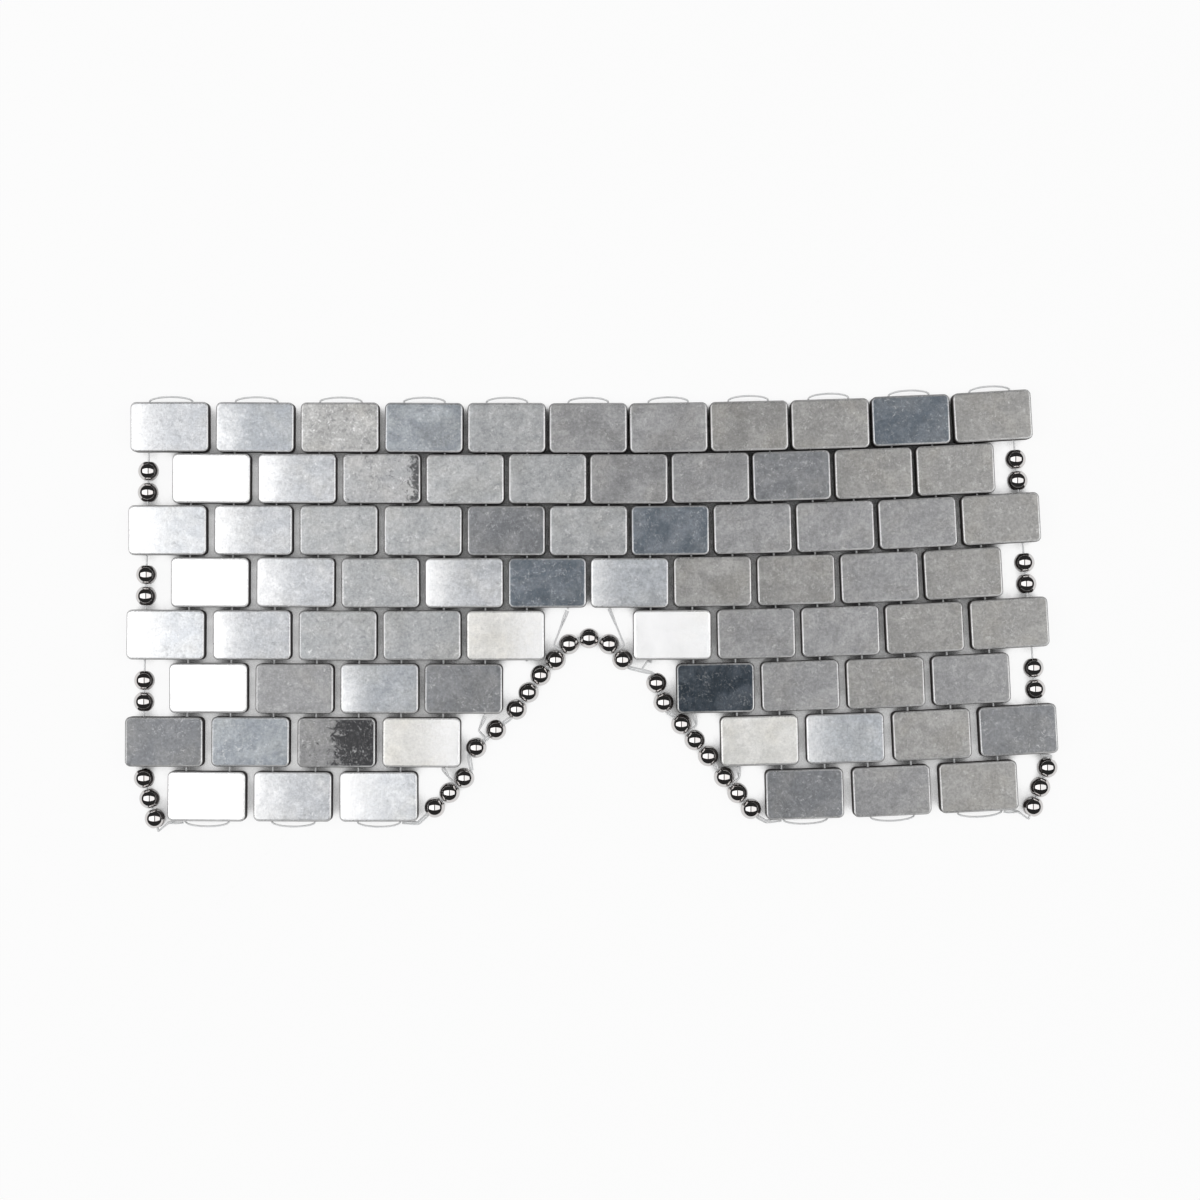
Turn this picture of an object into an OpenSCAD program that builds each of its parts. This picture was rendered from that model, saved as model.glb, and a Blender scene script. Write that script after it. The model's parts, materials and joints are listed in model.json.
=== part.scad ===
// Metal eye mask: a mat of flat two-hole tiles in a brick pattern, strung on upright
// threads, with a nose notch and small round beads where a row stops short.
// The mat lies flat on its back. X runs along the rows, Y up the face, Z out of the face.
// Origin: middle of the underside of the centre tile in the third row.

/* [Tiles] */
// Width of a tile, along its row
tile_w = 16.8; // [15.8:0.1:17.8]
// Height of a tile, along its thread holes
tile_h = 10.7; // [9:0.1:13]
// Thickness of a tile
tile_t = 3.8; // [3.2:0.1:4.2]
// Radius of a tile's four corners, seen from above
corner_r = 1.2; // [0.8:0.1:1.8]
// Rounding of a tile's edges, on both faces
edge_r = 0.5; // [0.4:0.05:1.1]
// Bore of the two thread holes through a tile
hole_d = 1.5; // [1.4:0.1:1.8]
// Depth of the small countersink at each end of a thread hole
sink_depth = 0.25; // [0.1:0.05:0.5]

/* [Weave] */
// Gap between two tiles of a row, in the middle of the mask
tile_gap = 0.78; // [0.74:0.02:1]
// Gap between two rows
row_gap = 0.46; // [0.4:0.02:0.8]
// Share by which the row spacing grows from one row to the next, downwards
row_spread = 0.01; // [0:0.001:0.012]
// Thickness of the clear thread
thread_d = 0.4; // [0.3:0.05:0.5]
// How far a thread loop bows out from the edge of its tile
loop_bow = 1; // [0.6:0.1:1.6]
// How far a thread stands out of its hole before it turns
loop_stand = 0.25; // [0.2:0.05:0.5]

/* [Beads] */
// Diameter of a bead
bead_d = 4.4; // [4:0.1:4.8]
// Bore of a bead
bead_hole_d = 1.1; // [1:0.1:1.4]
// Width of the countersunk mouth at each end of a bead's bore
bead_mouth_d = 1.9; // [1.7:0.05:2.1]
// Gap between two beads that follow each other on a thread
bead_gap = 0.09; // [0.05:0.01:0.3]
// Gap between a bead and the tile edge above it
seat_gap = 0.15; // [0.1:0.05:0.4]
// Gap between a bead and the side of a tile that turns against it
side_gap = 0.4; // [0.35:0.05:0.8]
// How far a pair of edge beads has slid down from the middle of its row
edge_drop = 0.7; // [0:0.1:1]

/* [Lay of the mat] */
// Share by which the thread spacing grows from one thread to the next, to the left
left_spread = 0.0057; // [0:0.0001:0.009]
// Share by which the thread spacing grows from one thread to the next, to the right
right_spread = 0.0016; // [0:0.0001:0.006]
// Lean of the outermost left thread, in degrees
left_lean = 1.1; // [0:0.1:2]
// Lean of the outermost right thread, in degrees
right_lean = 4.9; // [3:0.1:5]
// Turn of the outermost left tiles, in degrees
left_turn = 0.2; // [0:0.1:2]
// Turn of the outermost right tiles, in degrees
right_turn = 3.4; // [3:0.1:5]
// Most that a tile lies off its true place
wobble = 0.06; // [0:0.01:0.08]
// Most that a tile lies off its true angle, in degrees
wobble_turn = 0.3; // [0:0.1:0.4]

/* [Hidden] */
$fn = 48;
rows = 8;
long_row = 11;
notch_row = 5;
ref_row = 3;
n_threads = 2 * long_row;
mid_column = n_threads / 2;
mid_thread = (n_threads + 1) / 2;
last_off = mid_thread - 1;

thread_gap = (tile_w + tile_gap) / 2;
row_pitch = tile_h + row_gap;
// The holes suit the average spacing of the threads that fan out through them
hole_lead = 0.11;
hole_pitch = thread_gap + hole_lead;
thread_z = tile_t / 2;
thread_sides = 8;
bead_pitch = bead_d + bead_gap;
bead_pole = bead_d / 2 + 0.02;
edge_pitch = bead_d + 0.2;
thread_end_gap = 0.06;
corner_clear = 0.5;
// A string bends between two beads this far out from the line of their bores
groove_reach = bead_d / 2 + 0.2;
string_draw = 0.3;
bend_room = 0.6;
sink_reach = 1;

// Nose beads of each step, from the upper to the lower one: how far the first bead sits
// towards the middle from the corner above it, how much lower than it could, the slope
// of the string, how many beads it has, and how far apart they are in bead pitches
left_steps = [[-0.95, 0.95, 55, 3, 1], [-1.5, 1.2, 42, 2, 1.27], [0.7, 0, 45, 3, 1]];
right_steps = [[-5, 2.6, 70, 2, 1], [-1, 0, 50, 3, 1], [-0.7, 0, 50, 3, 1]];
// Beads of each lower outer corner: first bead towards the middle, slope, how many, and
// how much lower than it could the first one sits
left_corner = [0.3, 75, 3, 0];
right_corner = [-1.4, 70, 3, 0.45];
bridge_gap = 0.1;

steel = [0.64, 0.65, 0.66];
dark_steel = [0.2, 0.2, 0.21];
nylon = [0.9, 0.92, 0.93];

// Lay of the mat: threads are numbered 1 to 22 from the left, and column c of tiles
// hangs on threads c and c + 1

function off(k) = k - mid_thread;
function by_side(u, left, right) = u < 0 ? left : right;
function thread_x(k) =
    thread_gap * off(k) * (1 + by_side(off(k), left_spread, right_spread) * abs(off(k)) / 2);
function rise(k) =
    abs(thread_x(k)) * abs(off(k)) / last_off * tan(by_side(off(k), left_turn, right_turn)) / 2;
function lean(k) = by_side(off(k), left_lean, right_lean) * off(k) / last_off;
function depth(r) = (r - ref_row) * row_pitch * (1 + row_spread * (r - ref_row) / 2);
function on_thread(k, d) = [thread_x(k) + d * sin(lean(k)), rise(k) - d * cos(lean(k))];

function has_tile(r, c) =
    c >= 1 && c < n_threads && r % 2 == c % 2
    && (r < notch_row || abs(c - mid_column) > r - notch_row + 1);
function last_row(k) = max([for (r = [1:rows]) if (has_tile(r, k - 1) || has_tile(r, k)) r]);

function off_place(r, c) =
    r == ref_row && c == mid_column ? [0, 0, 0] : rands(-1, 1, 3, 100 * r + c);
function tile_at(r, c) =
    (on_thread(c, depth(r)) + on_thread(c + 1, depth(r))) / 2
    + wobble * [off_place(r, c).x, off_place(r, c).y];
function tile_angle(r, c) =
    let (run = on_thread(c + 1, depth(r)) - on_thread(c, depth(r)))
    atan2(run.y, run.x) + wobble_turn * off_place(r, c).z;

function towards(angle) = [cos(angle), sin(angle)];
// Bottom corner of a tile, on its left side (-1) or its right side (1)
function bottom_corner(r, c, side) =
    tile_at(r, c) + side * tile_w / 2 * towards(tile_angle(r, c))
    + tile_h / 2 * towards(tile_angle(r, c) - 90);

// Innermost tile of a notched row, on the left (-1) or the right (1)
function inner_column(r, side) = mid_column + side * (r - notch_row + 2);
function notch_corner(r, side) = bottom_corner(r, inner_column(r, side), -side);

// Where a thread leaves its lowest and its highest tile
function thread_foot(k, stand) = on_thread(k, depth(last_row(k)) + tile_h / 2 + stand);
function thread_head(k, stand) = on_thread(k, depth(1) - tile_h / 2 - stand);

// Beads, each as [place, direction of its bore]

function string_beads(first, slope, count, pitch, outward, stop_x) =
    let (
        way = outward > 0 ? -slope : slope - 180,
        room = abs(stop_x - first.x) - bead_d / 2 - side_gap,
        fits = 1 + floor(room / (pitch * cos(slope)))
    )
    [for (i = [0:min(count, fits) - 1]) [first + i * pitch * towards(way), way]];

function step_beads(r, side) =
    let (
        step = by_side(side, left_steps, right_steps)[r - notch_row - 1],
        above = notch_corner(r - 1, side),
        first = above + [-side * step[0], -bead_d / 2 - seat_gap - step[1]]
    )
    string_beads(first, step[2], step[3], bead_pitch * step[4], side, notch_corner(r, side).x);

function corner_string(side) =
    let (
        set = by_side(side, left_corner, right_corner),
        k = side < 0 ? 1 : n_threads,
        c = side < 0 ? 2 : n_threads - 2,
        first = thread_foot(k, 0) + [-side * set[0], -bead_d / 2 - seat_gap - loop_stand - set[3]]
    )
    string_beads(first, set[1], set[2], bead_pitch, -side, bottom_corner(rows, c, side).x);

function edge_pair(side, r) =
    let (k = side < 0 ? 1 : n_threads)
    [for (i = [-1, 1]) [on_thread(k, depth(r) + edge_drop + i * edge_pitch / 2), lean(k) - 90]];

// Five beads that just span the notch stand on a circle, one bead pitch apart
function bridge_step(ratio, low = 0, high = 45, tries = 30) =
    let (m = (low + high) / 2)
    tries == 0 ? m
    : 4 * cos(m / 2) * cos(m) > ratio ? bridge_step(ratio, m, high, tries - 1)
    : bridge_step(ratio, low, m, tries - 1);
bridge_left = notch_corner(notch_row, -1);
bridge_right = notch_corner(notch_row, 1);
bridge_span = bridge_right.x - bridge_left.x - bead_d - 2 * bridge_gap;
bridge_turn = bridge_step(bridge_span / bead_pitch);
bridge_r = bead_pitch / 2 / sin(bridge_turn / 2);
// How far out of the line of two bridge beads their bores meet
bridge_bow = bead_pitch / 2 * tan(bridge_turn / 2);
function bridge_bead(i) = [
    (bridge_left + bridge_right) / 2
    + bridge_r * [sin(i * bridge_turn), cos(i * bridge_turn) - cos(2 * bridge_turn)],
    -max(-1.5, min(1.5, i)) * bridge_turn
];

function reversed(list) = [for (i = [len(list) - 1:-1:0]) list[i]];
function left_string(r) = [for (b = reversed(step_beads(r, -1))) [b[0], b[1] + 180]];
bridge_left_beads = concat(left_string(6), [bridge_bead(-2)]);
bridge_right_beads = concat([bridge_bead(2)], step_beads(6, 1));
bridge_mid_beads = [for (i = [-1:1]) bridge_bead(i)];

// Thread, as points in the plane of the mat

// Through beads, from pole to pole
function through(beads) =
    [for (b = beads, end = [-1, 1]) b[0] + end * bead_pole * towards(b[1])];
function pole(bead, end, out = thread_end_gap) =
    bead[0] + end * (bead_pole + out) * towards(bead[1]);
function part_of(list, from, to) = [for (i = [from:to]) list[i]];

// Point in the groove between two beads, on the side of a thread's foot
function string_mid(one, two) =
    (one[0] + two[0] + bead_pole * (towards(one[1]) - towards(two[1]))) / 2;
function groove(one, two, foot, reach, from_string = false) =
    let (
        mid = from_string ? string_mid(one, two) : (one[0] + two[0]) / 2,
        run = unit(two[0] - one[0]),
        out = [-run.y, run.x]
    )
    mid + reach * ((foot - mid) * out > 0 ? 1 : -1) * out;

// Flat loop from one point to another, to the left of its run
function loop_points(from, to) =
    let (run = to - from, left = [-run.y, run.x] / norm(run))
    [for (t = [0:20:180]) (from + to) / 2 - cos(t) * run / 2 + loop_bow * sin(t) * left];

// A leg ends inside the hole where the loop of the next column takes over
function leg_stand(k) = last_row(k) == rows ? -2 * loop_stand : loop_stand;
function leg_foot(k) = thread_foot(k, leg_stand(k));

// Point just below the bottom corner of a tile, where a string bends round it
function round_corner(r, c, side) =
    bottom_corner(r, c, side) + corner_clear * towards(tile_angle(r, c) - 90);
function beside_foot(k, side) =
    thread_foot(k, loop_stand) + side * [thread_d + thread_end_gap, 0];

// Corner string, from the foot of the outermost thread to the foot of the next one
function corner_run(side) =
    let (
        k = side < 0 ? 1 : n_threads,
        c = side < 0 ? 2 : n_threads - 2,
        inner = side < 0 ? 2 : n_threads - 1,
        beads = corner_string(side),
        room = by_side(side, left_corner, right_corner)[3]
    )
    concat([thread_foot(k, loop_stand)], room > 0 ? [pole(beads[0], -1, room)] : [],
           through(beads), [pole(beads[len(beads) - 1], 1, bend_room)],
           [round_corner(rows, c, side), beside_foot(inner, side)]);

// String of the bridge, which closes the loop of the two middle threads
function bridge_run() =
    let (
        first = thread_foot(mid_column + 1, loop_stand),
        last = thread_foot(mid_column, loop_stand),
        points = reversed(through(bridge_mid_beads)),
        bend = groove(bridge_bead(-2), bridge_bead(-1), last, groove_reach)
    )
    concat(
        [first],
        [for (d = [groove_reach, bridge_bow]) groove(bridge_bead(1), bridge_bead(2), first, d)],
        part_of(points, 1, len(points) - 2),
        [groove(bridge_bead(-2), bridge_bead(-1), last, bridge_bow), bend],
        [last - unit(last - bend) * (thread_d + thread_end_gap)]
    );

// Short thread from the foot of a notch thread into the groove between two beads
function join_run(k, one, two, stand = loop_stand) =
    let (foot = thread_foot(k, stand))
    concat([foot],
           [for (d = [groove_reach, thread_d + 2 * thread_end_gap])
               groove(one, two, foot, d, from_string = true)]);

// Tiles

module rounded(w, h, r) {
    square([w - 2 * r, h], center = true);
    square([w, h - 2 * r], center = true);
    for (x = [-1, 1], y = [-1, 1])
        translate([x * (w / 2 - r), y * (h / 2 - r)]) circle(r);
}

module tile_blank() {
    intersection() {
        linear_extrude(tile_t, center = true) rounded(tile_w, tile_h, corner_r);
        rotate([90, 0, 90]) linear_extrude(tile_w + 2, center = true)
            rounded(tile_h, tile_t, edge_r);
        rotate([90, 0, 0]) linear_extrude(tile_h + 2, center = true)
            rounded(tile_w, tile_t, edge_r);
    }
}

module thread_hole() {
    half = tile_h / 2;
    wide = hole_d / 2 + sink_depth + sink_reach;
    rotate([90, 0, 0])
        rotate_extrude()
            polygon([
                [0, -half - sink_reach], [wide, -half - sink_reach],
                [hole_d / 2, -half + sink_depth], [hole_d / 2, half - sink_depth],
                [wide, half + sink_reach], [0, half + sink_reach]
            ]);
}

module tile() {
    difference() {
        tile_blank();
        for (x = [-1, 1]) translate([x * hole_pitch / 2, 0, 0]) thread_hole();
    }
}

module tile_column(c) {
    color(steel)
        for (r = [1:rows])
            if (has_tile(r, c))
                translate([tile_at(r, c).x, tile_at(r, c).y, tile_t / 2])
                    rotate([0, 0, tile_angle(r, c)]) tile();
}

// Beads

// Bore of a bead, with its two countersunk mouths
module bead_bore() {
    mouth = sqrt(pow(bead_d, 2) - pow(bead_mouth_d, 2)) / 2;
    deep = mouth - (bead_mouth_d - bead_hole_d) / 2;
    wide = bead_mouth_d / 2 + sink_reach;
    rotate_extrude()
        polygon([
            [0, -mouth - sink_reach], [wide, -mouth - sink_reach],
            [bead_hole_d / 2, -deep], [bead_hole_d / 2, deep],
            [wide, mouth + sink_reach], [0, mouth + sink_reach]
        ]);
}

module bead(place) {
    translate([place[0].x, place[0].y, thread_z])
        rotate([0, 90, place[1]])
            difference() {
                sphere(d = bead_d);
                bead_bore();
            }
}

module beads(places) {
    color(dark_steel) for (p = places) bead(p);
}

// Threads

function unit(v) = v / norm(v);
function ring(path, i) =
    let (
        back = unit(path[max(i, 1)] - path[max(i, 1) - 1]),
        ahead = i < len(path) - 1 ? unit(path[i + 1] - path[i]) : back,
        way = i > 0 ? unit(back + ahead) : ahead,
        side = [way.y, -way.x] / (way * ahead) * thread_d / 2
    )
    [for (j = [0:thread_sides - 1])
        let (t = 360 / thread_sides * (j + 0.5))
        [each path[i] + cos(t) * side, thread_z + sin(t) * thread_d / 2]];

// Tube of thread along a run of points
module strand(path) {
    n = thread_sides;
    last = (len(path) - 1) * n;
    polyhedron(
        points = [for (i = [0:len(path) - 1]) each ring(path, i)],
        faces = concat(
            [[for (j = [n - 1:-1:0]) j], [for (j = [0:n - 1]) last + j]],
            [for (i = [0:len(path) - 2], j = [0:n - 1])
                [i * n + j, i * n + (j + 1) % n, (i + 1) * n + (j + 1) % n, (i + 1) * n + j]]
        )
    );
}

// The two legs of a column, the flat loop that joins them over the top row, and the
// short run that goes on from one of them to the beads
module hairpin(c, before = [], after = []) {
    strand(concat(
        len(before) > 0 ? reversed(before) : [leg_foot(c)],
        loop_points(thread_head(c, loop_stand), thread_head(c + 1, loop_stand)),
        len(after) > 0 ? after : [leg_foot(c + 1)]
    ));
}

module thread(c) {
    color(nylon) {
        if (c == 1) hairpin(c, before = corner_run(-1));
        else if (c == inner_column(7, -1)) {
            lower = left_string(8);
            hairpin(c, after = join_run(c + 1, lower[1], lower[2]));
            strand(concat([beside_foot(c, 1), round_corner(rows, c - 1, 1)], through(lower)));
        }
        else if (c == inner_column(5, -1)) {
            points = through(bridge_left_beads);
            hairpin(c);
            strand(concat(part_of(points, 0, len(points) - 2),
                          [pole(bridge_bead(-2), 1, -string_draw)]));
        }
        else if (c == mid_column) hairpin(c, after = bridge_run());
        else if (c == inner_column(5, 1)) {
            points = through(bridge_right_beads);
            hairpin(c, before = join_run(c, bridge_right_beads[0], bridge_right_beads[1]));
            strand(concat([pole(bridge_bead(2), -1, -string_draw)],
                          part_of(points, 1, len(points) - 1), [pole(step_beads(7, 1)[0], -1)]));
        }
        else if (c == inner_column(7, 1)) {
            lower = step_beads(8, 1);
            hairpin(c, before = join_run(c, lower[0], lower[1]));
            strand(concat(through(lower),
                          [round_corner(rows, c + 1, -1), beside_foot(c + 1, -1)]));
        }
        else if (c == n_threads - 1) hairpin(c, after = corner_run(1));
        else hairpin(c);
    }
}

module bottom_loop(c) {
    deep = -2 * loop_stand + thread_end_gap;
    color(nylon)
        strand(concat(
            [thread_foot(c + 1, deep)],
            loop_points(thread_foot(c + 1, loop_stand), thread_foot(c, loop_stand)),
            [thread_foot(c, deep)]
        ));
}

module nose_string_left() {
    beads = left_string(7);
    color(nylon) {
        strand(concat([pole(left_string(8)[2], 1)], through(beads), [pole(left_string(6)[0], -1)]));
        strand(join_run(inner_column(5, -1), beads[0], beads[1], loop_stand + thread_d));
    }
}

module nose_string_right() {
    beads = step_beads(7, 1);
    color(nylon) {
        strand(concat(through(beads), [pole(step_beads(8, 1)[0], -1)]));
        strand(join_run(inner_column(6, 1), beads[0], beads[1], loop_stand + thread_d));
    }
}

tile_column(1);  // tile_column_01
tile_column(2);  // tile_column_02
tile_column(3);  // tile_column_03
tile_column(4);  // tile_column_04
tile_column(5);  // tile_column_05
tile_column(6);  // tile_column_06
tile_column(7);  // tile_column_07
tile_column(8);  // tile_column_08
tile_column(9);  // tile_column_09
tile_column(10);  // tile_column_10
tile_column(11);  // tile_column_11
tile_column(12);  // tile_column_12
tile_column(13);  // tile_column_13
tile_column(14);  // tile_column_14
tile_column(15);  // tile_column_15
tile_column(16);  // tile_column_16
tile_column(17);  // tile_column_17
tile_column(18);  // tile_column_18
tile_column(19);  // tile_column_19
tile_column(20);  // tile_column_20
tile_column(21);  // tile_column_21
thread(1);  // thread_01
thread(3);  // thread_03
thread(5);  // thread_05
thread(7);  // thread_07
thread(9);  // thread_09
thread(11);  // thread_11
thread(13);  // thread_13
thread(15);  // thread_15
thread(17);  // thread_17
thread(19);  // thread_19
thread(21);  // thread_21
bottom_loop(2);  // bottom_loop_02
bottom_loop(4);  // bottom_loop_04
bottom_loop(6);  // bottom_loop_06
bottom_loop(16);  // bottom_loop_16
bottom_loop(18);  // bottom_loop_18
bottom_loop(20);  // bottom_loop_20
nose_string_left();
nose_string_right();
beads(edge_pair(-1, 2));  // edge_beads_left_top
beads(edge_pair(-1, 4));  // edge_beads_left_middle
beads(edge_pair(-1, 6));  // edge_beads_left_bottom
beads(edge_pair(1, 2));  // edge_beads_right_top
beads(edge_pair(1, 4));  // edge_beads_right_middle
beads(edge_pair(1, 6));  // edge_beads_right_bottom
beads(corner_string(-1));  // corner_beads_left
beads(corner_string(1));  // corner_beads_right
beads(bridge_left_beads);  // nose_beads_left_upper
beads(left_string(7));  // nose_beads_left_middle
beads(left_string(8));  // nose_beads_left_lower
beads(bridge_right_beads);  // nose_beads_right_upper
beads(step_beads(7, 1));  // nose_beads_right_middle
beads(step_beads(8, 1));  // nose_beads_right_lower
beads(bridge_mid_beads);  // bridge_beads
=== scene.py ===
"""Metal eye mask: satin metal tiles on clear thread, with dark round beads round the notch."""

from __future__ import annotations

import json  # noqa: E402
import logging  # noqa: E402
import math  # noqa: E402
import random  # noqa: E402
from dataclasses import dataclass, field  # noqa: E402
from enum import Enum  # noqa: E402
from typing import ClassVar  # noqa: E402

import bmesh  # noqa: E402
import bpy  # noqa: E402
import numpy as np  # noqa: E402
from mathutils import Matrix, Vector, noise  # noqa: E402

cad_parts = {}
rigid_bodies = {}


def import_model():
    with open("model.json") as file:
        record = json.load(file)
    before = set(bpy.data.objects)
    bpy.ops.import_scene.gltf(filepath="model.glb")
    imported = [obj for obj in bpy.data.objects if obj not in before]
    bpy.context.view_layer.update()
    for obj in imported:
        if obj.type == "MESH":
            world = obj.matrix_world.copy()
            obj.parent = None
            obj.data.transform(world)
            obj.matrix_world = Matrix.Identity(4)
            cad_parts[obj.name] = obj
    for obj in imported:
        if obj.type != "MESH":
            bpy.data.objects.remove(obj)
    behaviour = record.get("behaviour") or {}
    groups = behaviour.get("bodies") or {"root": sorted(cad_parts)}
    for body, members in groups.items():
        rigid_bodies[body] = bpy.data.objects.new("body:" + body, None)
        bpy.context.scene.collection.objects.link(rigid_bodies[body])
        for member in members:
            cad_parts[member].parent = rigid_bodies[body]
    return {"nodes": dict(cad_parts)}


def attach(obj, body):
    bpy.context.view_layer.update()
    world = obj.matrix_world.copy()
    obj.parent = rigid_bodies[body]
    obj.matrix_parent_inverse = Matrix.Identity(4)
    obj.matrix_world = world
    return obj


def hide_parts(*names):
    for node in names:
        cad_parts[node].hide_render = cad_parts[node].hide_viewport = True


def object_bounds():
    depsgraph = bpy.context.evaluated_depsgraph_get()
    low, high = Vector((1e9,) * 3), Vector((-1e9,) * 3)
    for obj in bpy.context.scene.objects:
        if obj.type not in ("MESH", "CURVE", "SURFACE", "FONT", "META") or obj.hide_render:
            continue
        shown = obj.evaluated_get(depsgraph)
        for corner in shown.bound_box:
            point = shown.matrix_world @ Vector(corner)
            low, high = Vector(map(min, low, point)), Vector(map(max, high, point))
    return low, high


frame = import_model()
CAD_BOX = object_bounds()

log = logging.getLogger("eye_mask")

MM = 0.001
TINY = 1e-6

Colour = tuple[float, float, float]
Output = tuple[bpy.types.Node, int | str]
Input = Output | Colour | float
Form = tuple[np.ndarray, list[list[int]]]


# Layout of the mat


class Side(Enum):
    """The two halves of the mask, seen from outside."""

    LEFT = -1
    RIGHT = 1


@dataclass(frozen=True)
class Weave:
    """Where the threads and tiles of the mat lie, in millimetres.

    Threads are numbered 1 to 22 from the left, and column c of tiles hangs on threads c and c + 1.
    """

    rows: int = 8
    threads: int = 22
    notch_row: int = 5
    ref_row: int = 3
    tile_w: float = 16.8
    tile_h: float = 10.7
    tile_t: float = 3.8
    tile_gap: float = 0.78
    row_gap: float = 0.46
    row_spread: float = 0.01
    spread: tuple[float, float] = (0.0057, 0.0016)
    lean_deg: tuple[float, float] = (1.1, 4.9)
    turn_deg: tuple[float, float] = (0.2, 3.4)
    loop_stand: float = 0.25

    @property
    def middle(self) -> float:
        """Thread number of the middle of the mat."""
        return (self.threads + 1) / 2

    @property
    def middle_column(self) -> int:
        """Column of the centre tiles."""
        return self.threads // 2

    def _side(self, k: float, pair: tuple[float, float]) -> float:
        """The left or the right value of a pair, for thread k."""
        return pair[0] if k < self.middle else pair[1]

    def thread_x(self, k: float) -> float:
        """Distance of a thread from the middle, at the reference row.

        Args:
            k: Number of the thread; halves lie between two threads.

        Returns:
            The distance, to the right.
        """
        off = k - self.middle
        pitch = (self.tile_w + self.tile_gap) / 2
        return pitch * off * (1 + self._side(k, self.spread) * abs(off) / 2)

    def rise(self, k: float) -> float:
        """Height of a thread's reference point above the middle of the row.

        Args:
            k: Number of the thread.

        Returns:
            The height.
        """
        off = abs(k - self.middle)
        turn = math.radians(self._side(k, self.turn_deg))
        return abs(self.thread_x(k)) * off / (self.middle - 1) * math.tan(turn) / 2

    def lean(self, k: float) -> float:
        """Lean of thread k, in radians."""
        return math.radians(self._side(k, self.lean_deg)) * (k - self.middle) / (self.middle - 1)

    def depth(self, row: float) -> float:
        """Distance of a row below the reference row."""
        n = row - self.ref_row
        return n * (self.tile_h + self.row_gap) * (1 + self.row_spread * n / 2)

    def on_thread(self, k: float, down: float) -> np.ndarray:
        """Point on a thread.

        Args:
            k: Number of the thread.
            down: Distance below its reference point.

        Returns:
            The point, in the plane of the mat.
        """
        lean = self.lean(k)
        return np.array(
            [self.thread_x(k) + down * math.sin(lean), self.rise(k) - down * math.cos(lean)]
        )

    def has_tile(self, row: int, column: int) -> bool:
        """Tells where the brick pattern has a tile.

        Args:
            row: Row, from 1 at the top.
            column: Column, from 1 at the left.

        Returns:
            Whether a tile hangs there.
        """
        inside = 1 <= column < self.threads and row % 2 == column % 2
        beside_notch = abs(column - self.middle_column) > row - self.notch_row + 1
        return inside and (row < self.notch_row or beside_notch)

    def last_row(self, k: int) -> int:
        """Lowest row that has a tile on thread k."""
        rows = range(1, self.rows + 1)
        return max(r for r in rows if self.has_tile(r, k - 1) or self.has_tile(r, k))

    def head(self, k: int, stand: float) -> np.ndarray:
        """Point where thread k leaves its highest tile."""
        return self.on_thread(k, self.depth(1) - self.tile_h / 2 - stand)

    def foot(self, k: int, stand: float) -> np.ndarray:
        """Point where thread k leaves its lowest tile."""
        return self.on_thread(k, self.depth(self.last_row(k)) + self.tile_h / 2 + stand)

    def inner_column(self, row: int, side: Side) -> int:
        """Column of the tile next to the notch in one of its rows."""
        return self.middle_column + side.value * (row - self.notch_row + 2)


WEAVE = Weave()


# Reading where the solids lie


@dataclass(frozen=True)
class Spot:
    """Where one solid lies: its middle in millimetres and its turn about the upright axis."""

    middle: np.ndarray
    turn: float

    def along(self, distance: float) -> np.ndarray:
        """Point in the mat's plane at a distance along the solid's own direction."""
        way = np.array([math.cos(self.turn), math.sin(self.turn)])
        return self.middle[:2] + distance * way


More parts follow.
